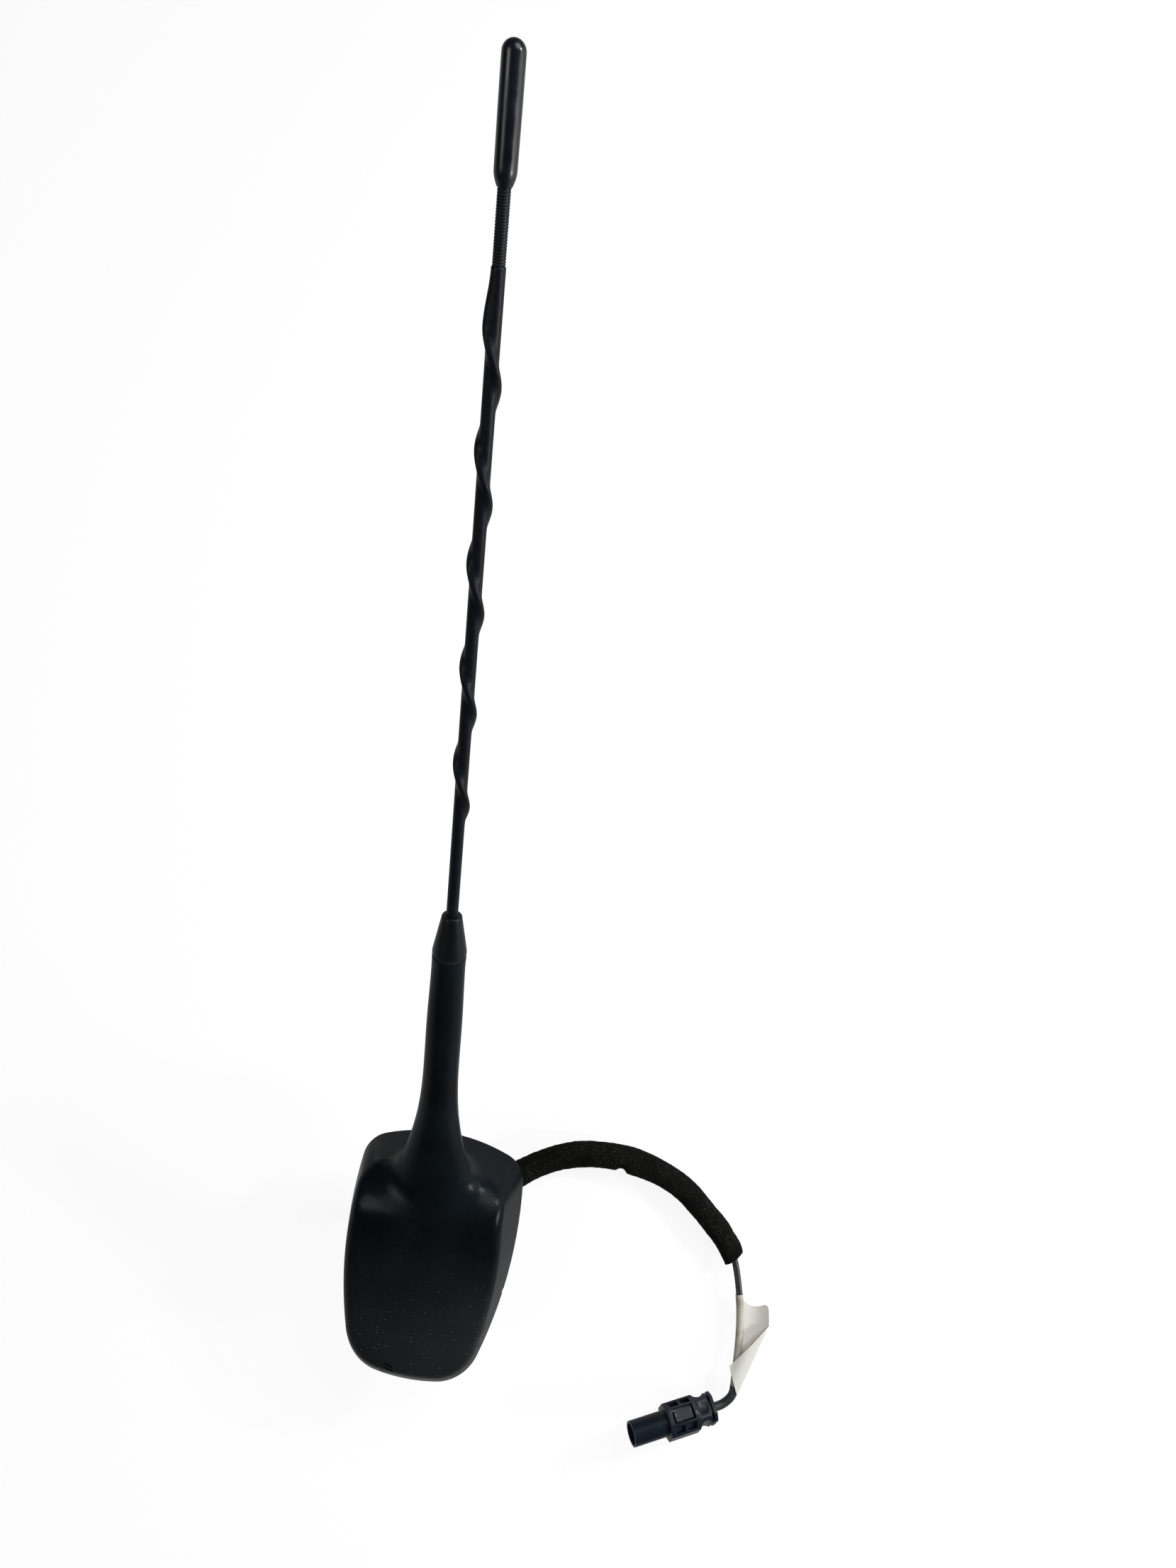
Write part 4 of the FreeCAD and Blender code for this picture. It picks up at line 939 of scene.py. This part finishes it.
@dataclass
class Cable:
    """The coaxial cable with its foam sleeve, label and boot, in millimetres.

    The sleeve's waves hold a height and a rate along it, and its lumps a width and a height.
    """

    plug: Plug
    body: str = "base"
    radius: float = 1.3
    round_steps: int = 4
    line_steps: int = 16
    sleeve_from: float = 19.5
    sleeve_to: float = 151.5
    sleeve_sides: int = 32
    sleeve_radius: float = 5.15
    sleeve_end_radius: float = 4.1
    sleeve_bore_share: float = 0.36
    squeeze_from: float = 0.45
    squeeze_power: float = 1.3
    sleeve_waves: tuple[tuple[float, float], ...] = ((0.1, 17), (0.06, 41))
    sleeve_lumps: tuple[tuple[float, float], ...] = ((1.4, 0.16), (9.0, 0.25))
    lump_seed: int = 11
    notch_at: tuple[float, float, float] = (67.2, 38.2, -27.0)
    notch_wide: float = 2.6
    notch_deep: float = 1.6
    cut_reach: float = 11.0
    cut_skew: float = 2.2
    plain: Outfit = (("cable_boot", BOOT),)

    def route(self, name: str) -> Thing:
        """Draw the route as one smooth spline.

        Args:
            name: the curve's name.
        Returns:
            A curve object with no thickness.
        """
        curve = bpy.data.curves.new(name, "CURVE")
        curve.dimensions = "3D"
        curve.resolution_u = self.line_steps
        spline = curve.splines.new("NURBS")
        spline.points.add(len(CABLE_ROUTE) - 1)
        for point, (x, y, z) in zip(spline.points, CABLE_ROUTE):
            point.co = (x * MM, y * MM, z * MM, 1)
        spline.order_u = 3
        spline.use_endpoint_u = True
        thing = bpy.data.objects.new(name, curve)
        bpy.context.scene.collection.objects.link(thing)
        return thing

    def line(self) -> list[Vector]:
        """Read the smooth line's points.

        Returns:
            The points in order from the foot to the plug, in metres.
        """
        guide = self.route("route_guide")
        bpy.context.view_layer.update()
        mesh = bpy.data.meshes.new_from_object(guide)
        points = [corner.co.copy() for corner in mesh.vertices]
        bpy.data.meshes.remove(mesh)
        bpy.data.objects.remove(guide)
        return points

    def stretch(self, start: float, end: float) -> list[Vector]:
        """The part of the smooth line between two lengths along it.

        Args:
            start: millimetres along the cable.
            end: millimetres along the cable.
        Returns:
            Points in metres, with both ends.
        """
        kept: list[Vector] = []
        gone = 0.0
        line = self.line()
        for here, there in zip(line, line[1:]):
            step = (there - here).length / MM
            for mark in (start, end):
                if gone <= mark < gone + step:
                    kept.append(here.lerp(there, (mark - gone) / step))
            gone += step
            if start < gone < end:
                kept.append(there.copy())
        return kept

    def tube(self, name: str, points: list[Vector], radii: Sequence[float], sides: int) -> Thing:
        """Draw a tube of changing thickness along points.

        Args:
            name: the piece's name.
            points: the middle line, in metres.
            radii: a radius for each point, in millimetres.
            sides: how many sides the tube has.
        Returns:
            The tube as an open-ended mesh.
        """
        curve = bpy.data.curves.new(name, "CURVE")
        curve.dimensions = "3D"
        curve.bevel_depth = MM
        curve.bevel_resolution = sides // 4 - 2
        spline = curve.splines.new("POLY")
        spline.points.add(len(points) - 1)
        for point, co, radius in zip(spline.points, points, radii):
            point.co = (*co, 1)
            point.radius = radius
        thing = bpy.data.objects.new(name, curve)
        bpy.context.scene.collection.objects.link(thing)
        only(thing)
        bpy.ops.object.convert(target="MESH")
        return started(name)

    def closed(self, thing: Thing, points: list[Vector], share: float) -> None:
        """Turn the tube's open ends in to the cable.

        Args:
            thing: the open tube.
            points: its middle line.
            share: how far each end ring shrinks towards its middle.
        """
        near = 2 * self.sleeve_radius * MM
        with editing(thing):
            bpy.ops.mesh.select_mode(type="VERT")
            for end in (points[0], points[-1]):
                bpy.ops.mesh.select_all(action="DESELECT")
                mesh = bmesh.from_edit_mesh(thing.data)
                for corner in mesh.verts:
                    corner.select = corner.is_boundary and (corner.co - end).length < near
                mesh.select_flush(True)
                bmesh.update_edit_mesh(thing.data)
                bpy.ops.mesh.extrude_region_move()
                bpy.ops.transform.resize(value=(share, share, share), center_override=end)
            bpy.ops.mesh.select_all(action="SELECT")
            bpy.ops.mesh.normals_make_consistent(inside=False)

    def sleeve_radius_at(self, share: float) -> float:
        """Radius of the sleeve, which is squeezed towards its cut end and waves a little.

        Args:
            share: how far along the sleeve, from 0 to 1.
        Returns:
            The radius in millimetres.
        """
        squeeze = max(0.0, (share - self.squeeze_from) / (1 - self.squeeze_from)) ** self.squeeze_power
        waves = sum(height * math.sin(rate * share) for height, rate in self.sleeve_waves)
        return self.sleeve_radius + (self.sleeve_end_radius - self.sleeve_radius) * squeeze + waves

    def sleeve(self) -> Thing:
        """Model the foam sleeve: a thick soft tube with a lumpy skin, a torn notch and a slanting cut.

        Returns:
            The sleeve in place.
        """
        points = self.stretch(self.sleeve_from, self.sleeve_to)
        last = len(points) - 1
        radii = [self.sleeve_radius_at(index / last) for index in range(len(points))]
        notch = Vector(self.notch_at) * MM
        middle = min(points, key=lambda point: (point - notch).length)
        inward = (middle - notch).normalized()
        cut = points[-1]
        ahead = (cut - points[-3]).normalized()
        across = Vector((-ahead.y, ahead.x, 0))
        thing = self.tube("foam_sleeve_tube", points, radii, self.sleeve_sides)
        self.closed(thing, points, self.sleeve_bore_share)
        # Without a seed of its own, this noise starts from the clock and differs from run to run.
        noise.seed_set(self.lump_seed)
        with editing(thing):
            bpy.ops.mesh.select_all(action="SELECT")
            bpy.ops.mesh.subdivide(number_cuts=1)
            mesh = bmesh.from_edit_mesh(thing.data)
            for corner in mesh.verts:
                swing = Vector()
                for width, height in self.sleeve_lumps:
                    swing += noise.noise_vector(corner.co / (width * MM)) * height * MM
                torn = max(0.0, 1 - ((corner.co - notch).xy.length / (self.notch_wide * MM)) ** 2)
                swing += inward * torn * self.notch_deep * MM
                near_end = max(0.0, 1 - (corner.co - cut).length / (self.cut_reach * MM))
                side = (corner.co - cut).dot(across) / (self.sleeve_end_radius * MM)
                swing -= ahead * side * near_end * self.cut_skew * MM
                corner.co += swing
            bmesh.update_edit_mesh(thing.data)
        smooth(thing, degrees=60)
        return thing

    def build(self) -> None:
        cord = self.route("coax_lead")
        cord.data.bevel_depth = self.radius * MM
        cord.data.bevel_resolution = self.round_steps
        cord.data.use_fill_caps = True
        standing_in(cord, JACKET, self.body, "cable_jacket", "coax_cable")
        sleeve = standing_in(self.sleeve(), SLEEVE, self.body, "foam", "foam_sleeve")
        line = self.line()
        label = standing_in(Label(self).model(), None, self.body, "label_paper", "cable_label")
        dressed_nodes(self.plain)
        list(self.plug.pieces())


@dataclass
class Label:
    """The paper label: wrapped round the cable, with a flag whose lower half is folded back over it.

    Sizes are in millimetres. Each row of the flag's edge is a share of the way along the label and a point.
    """

    cable: Cable
    start: float = 165.2
    end: float = 200.2
    radius: float = 1.5
    sides: int = 24
    bore_share: float = 0.9
    thick: float = 0.26
    weld: float = 0.02
    flag_grid: tuple[int, int] = (14, 28)
    flag_edge: tuple[tuple[float, float, float, float], ...] = (
        (0.0, 130.9, -2.3, -26.6), (0.035, 132.0, -2.7, -26.4), (0.07, 132.5, -4.0, -26.2),
        (0.2, 133.3, -9.1, -25.9), (1.0, 124.9, -37.0, -26.4))
    flag_first: int = 3
    flag_seat: float = 0.97
    flag_sag: float = 0.9
    flag_pull: float = 1.6
    flag_pull_fade: int = 4
    flap_grid: tuple[int, int] = (14, 18)
    flap_from: float = 0.2
    flap_point: tuple[float, float, float] = (120.4, -26.7, -25.3)
    flap_lift: float = 0.3
    flap_bow: float = 1.4
    flap_bow_rate: float = 1.12
    flap_bow_fade: float = 0.45
    spine: list[Vector] = field(init=False)

    def __post_init__(self) -> None:
        """Take the stretch of cable that the label is wrapped round."""
        self.spine = self.cable.stretch(self.start, self.end)

    def far(self, along: float) -> Vector:
        """Find a point on the flag's far edge.

        Args:
            along: share of the way along the label.
        Returns:
            The point in metres.
        """
        edge = [(share, Vector(place) * MM) for share, *place in self.flag_edge]
        for (start, here), (end, there) in zip(edge, edge[1:]):
            if along <= end:
                return here.lerp(there, (along - start) / (end - start))
        return edge[-1][1]

    def on_flag(self, across: float, along: float) -> Vector:
        """Find a point of the flag, which sags between the cable and its far edge.

        Args:
            across: share of the way from the cable to the far edge.
            along: share of the way along the label.
        Returns:
            The point in metres.
        """
        last = len(self.spine) - 2
        index = round(self.flag_first + along * (last - self.flag_first))
        ahead = (self.spine[index + 1] - self.spine[index - 1]).normalized()
        near = self.spine[index] + Vector((-ahead.y, ahead.x, 0)) * self.radius * self.flag_seat * MM
        dip = math.sin(math.pi * across) * MM
        spot = near.lerp(self.far(along), across)
        spot.y -= self.flag_pull * dip * (1 - along) ** self.flag_pull_fade
        spot.z -= self.flag_sag * dip
        return spot

    def on_flap(self, across: float, along: float) -> Vector:
        """Find a point of the flap, which bows up from the flag's far edge and runs to a point.

        Args:
            across: share of the way from the far edge to the flap's point.
            along: share of the way along the fold.
        Returns:
            The point in metres.
        """
        fold = self.far(self.flap_from + (1 - self.flap_from) * along)
        spot = fold.lerp(Vector(self.flap_point) * MM, across)
        bow = math.sin(math.pi * min(across * self.flap_bow_rate, 1)) * (1 - self.flap_bow_fade * along)
        spot.z += (self.flap_lift + self.flap_bow * bow) * MM
        return spot

    def sheet(self, name: str, grid: tuple[int, int], place: Callable[[float, float], Vector]) -> Thing:
        """Shape a sheet of paper from a flat grid, with glue at its edges.

        Args:
            name: the piece's name.
            grid: squares across and along.
            place: gives a point in metres for shares of the way across and along.
        Returns:
            The sheet with its thickness.
        """
        bpy.ops.object.select_all(action="DESELECT")
        bpy.ops.mesh.primitive_grid_add(x_subdivisions=grid[0], y_subdivisions=grid[1], size=1,
                                        location=(0.5, 0.5, 0))
        thing = started(name)
        settled(thing)
        with editing(thing):
            mesh = bmesh.from_edit_mesh(thing.data)
            for corner in mesh.verts:
                corner.co = place(corner.co.x, corner.co.y)
            bmesh.update_edit_mesh(thing.data)
            bpy.ops.mesh.select_all(action="SELECT")
            bpy.ops.mesh.remove_doubles(threshold=self.weld * MM)
        dressed(thing, PAPER)
        thing.data.materials.append(GLUE.material())
        modified(thing, "SOLIDIFY", thickness=self.thick * MM, offset=0, material_offset_rim=1)
        smooth(thing, degrees=50)
        return thing

    def model(self) -> Thing:
        """Model the wrap, the flag and the flap, and join them.

        Returns:
            The label in place, with its materials.
        """
        wrap = self.cable.tube("label_wrap", self.spine, [self.radius] * len(self.spine), self.sides)
        self.cable.closed(wrap, self.spine, self.bore_share)
        dressed(wrap, PAPER_BACK)
        smooth(wrap)
        flag = self.sheet("label_flag", self.flag_grid, self.on_flag)
        flap = self.sheet("label_flap", self.flap_grid, self.on_flap)
        only(wrap)
        flag.select_set(True)
        flap.select_set(True)
        bpy.ops.object.join()
        wrap.name = "folded_label"
        return wrap


@dataclass(frozen=True)
class Lamp:
    """A square soft lamp: place and side in millimetres, power in watts and spread in degrees."""

    name: str
    place: tuple[float, float, float]
    size: float
    power: float
    spread: float = 180

    def hang(self, aim: Vector) -> None:
        """Hang the lamp so that it faces a point.

        Args:
            aim: the point in metres.
        """
        light = bpy.data.lights.new(self.name, "AREA")
        light.size = self.size * MM
        light.energy = self.power
        light.spread = math.radians(self.spread)
        thing = bpy.data.objects.new(self.name, light)
        thing.location = Vector(self.place) * MM
        thing.rotation_euler = (aim - thing.location).to_track_quat("-Z", "Y").to_euler()
        bpy.context.scene.collection.objects.link(thing)


@dataclass
class Studio:
    """Floor, light and camera, in millimetres and degrees."""

    floor_height: float = -32.4
    floor_size: float = 6000.0
    floor_tone: str = "7C7C7C"
    floor_glow: float = 0.88
    floor_mirrored: float = 0.5
    room_tone: str = "45474A"
    room_seen: str = "F1F1F1"
    aim: tuple[float, float, float] = (30, 60, 0)
    # Two keys, a small lamp for the glints, a narrow beam on the left shoulder and one on the right wall.
    lamps: tuple[Lamp, ...] = (
        Lamp("key_high", (400, 560, 700), 450, 2.4), Lamp("key_low", (700, 520, 500), 80, 2.6),
        Lamp("glint_side", (961, -1, 345), 110, 3.4), Lamp("left_soft", (-952, -418, 1277), 900, 0.48, 32),
        Lamp("right_soft", (800, 320, 224), 460, 1.1))
    eye: tuple[float, float, float] = (61.996, 119.526, 462.393)
    azimuth: float = 26.0
    elevation: float = 80.91
    roll: float = 16.506
    focal_pixels: float = 1661.0
    frame_tall: float = 2212.0
    film: float = 36.0
    near_clip: float = 10.0

    def build(self) -> None:
        """Set up floor, world, lamps, camera and colour view."""
        bpy.context.scene.view_settings.view_transform = "Standard"
        self.floor()
        self.world()
        for lamp in self.lamps:
            lamp.hang(Vector(self.aim) * MM)
        self.camera()

    def floor(self) -> None:
        """Lay a floor that lights the object as grey paper does, looks white and keeps the shadow."""
        bpy.ops.object.select_all(action="DESELECT")
        bpy.ops.mesh.primitive_plane_add(size=self.floor_size * MM, location=(0, 0, self.floor_height * MM))
        thing = started("studio_floor")
        material = bpy.data.materials.new("floor_paper")
        material.use_nodes = True
        tree = material.node_tree
        path = add(tree, "ShaderNodeLightPath").outputs
        mirrored = add(tree, "ShaderNodeMath", {0: path["Is Glossy Ray"], 1: self.floor_mirrored},
                       operation="MULTIPLY")
        seen = add(tree, "ShaderNodeMath", {0: path["Is Camera Ray"], 1: mirrored.outputs[0]},
                   operation="MAXIMUM")
        also = add(tree, "ShaderNodeMath", {0: seen.outputs[0], 1: path["Is Transmission Ray"]},
                   operation="MAXIMUM")
        lift = add(tree, "ShaderNodeMath", {0: also.outputs[0], 1: self.floor_glow}, operation="MULTIPLY")
        fill(tree, tree.nodes["Principled BSDF"].inputs,
             {"Base Color": linear(self.floor_tone), "Roughness": 0.9, "Specular IOR Level": 0.0,
              "Emission Color": linear("FFFFFF"), "Emission Strength": lift.outputs[0]})
        thing.data.materials.append(material)

    def world(self) -> None:
        """Put a dim grey room round the object, which the camera sees as white."""
        world = bpy.data.worlds.new("room")
        bpy.context.scene.world = world
        world.use_nodes = True
        tree = world.node_tree
        path = add(tree, "ShaderNodeLightPath")
        tone = add(tree, "ShaderNodeMix",
                   {SHARE: path.outputs["Is Camera Ray"], UNDER: linear(self.room_tone),
                    OVER: linear(self.room_seen)}, data_type="RGBA")
        fill(tree, tree.nodes["Background"].inputs, {"Color": tone.outputs[MIXED]})

    def camera(self) -> None:
        """Stand the camera where the photograph was taken."""
        around, high, roll = (math.radians(angle) for angle in (self.azimuth, self.elevation, self.roll))
        right = Vector((math.cos(around), math.sin(around), 0))
        back = Vector((math.sin(around) * math.cos(high), -math.cos(around) * math.cos(high), math.sin(high)))
        up = back.cross(right)
        rolled_right = right * math.cos(roll) - up * math.sin(roll)
        rolled_up = right * math.sin(roll) + up * math.cos(roll)
        data = bpy.data.cameras.new("photo_view")
        data.sensor_width = self.film
        data.lens = self.focal_pixels / self.frame_tall * self.film
        data.clip_start = self.near_clip * MM
        thing = bpy.data.objects.new("photo_view", data)
        turn = Matrix((rolled_right, rolled_up, back)).transposed().to_4x4()
        thing.matrix_world = Matrix.Translation(Vector(self.eye) * MM) @ turn
        bpy.context.scene.collection.objects.link(thing)
        bpy.context.scene.camera = thing


def main() -> None:
    """Build the studio and each sub-assembly."""
    logging.basicConfig(level=logging.INFO, format="%(message)s")
    Studio().build()
    plug = Plug()
    for assembly in (Foot(), Amplifier(), Mast(), plug, Cable(plug)):
        assembly.build()
        LOG.info("%s done", type(assembly).__name__)


if __name__ == "__main__":
    main()
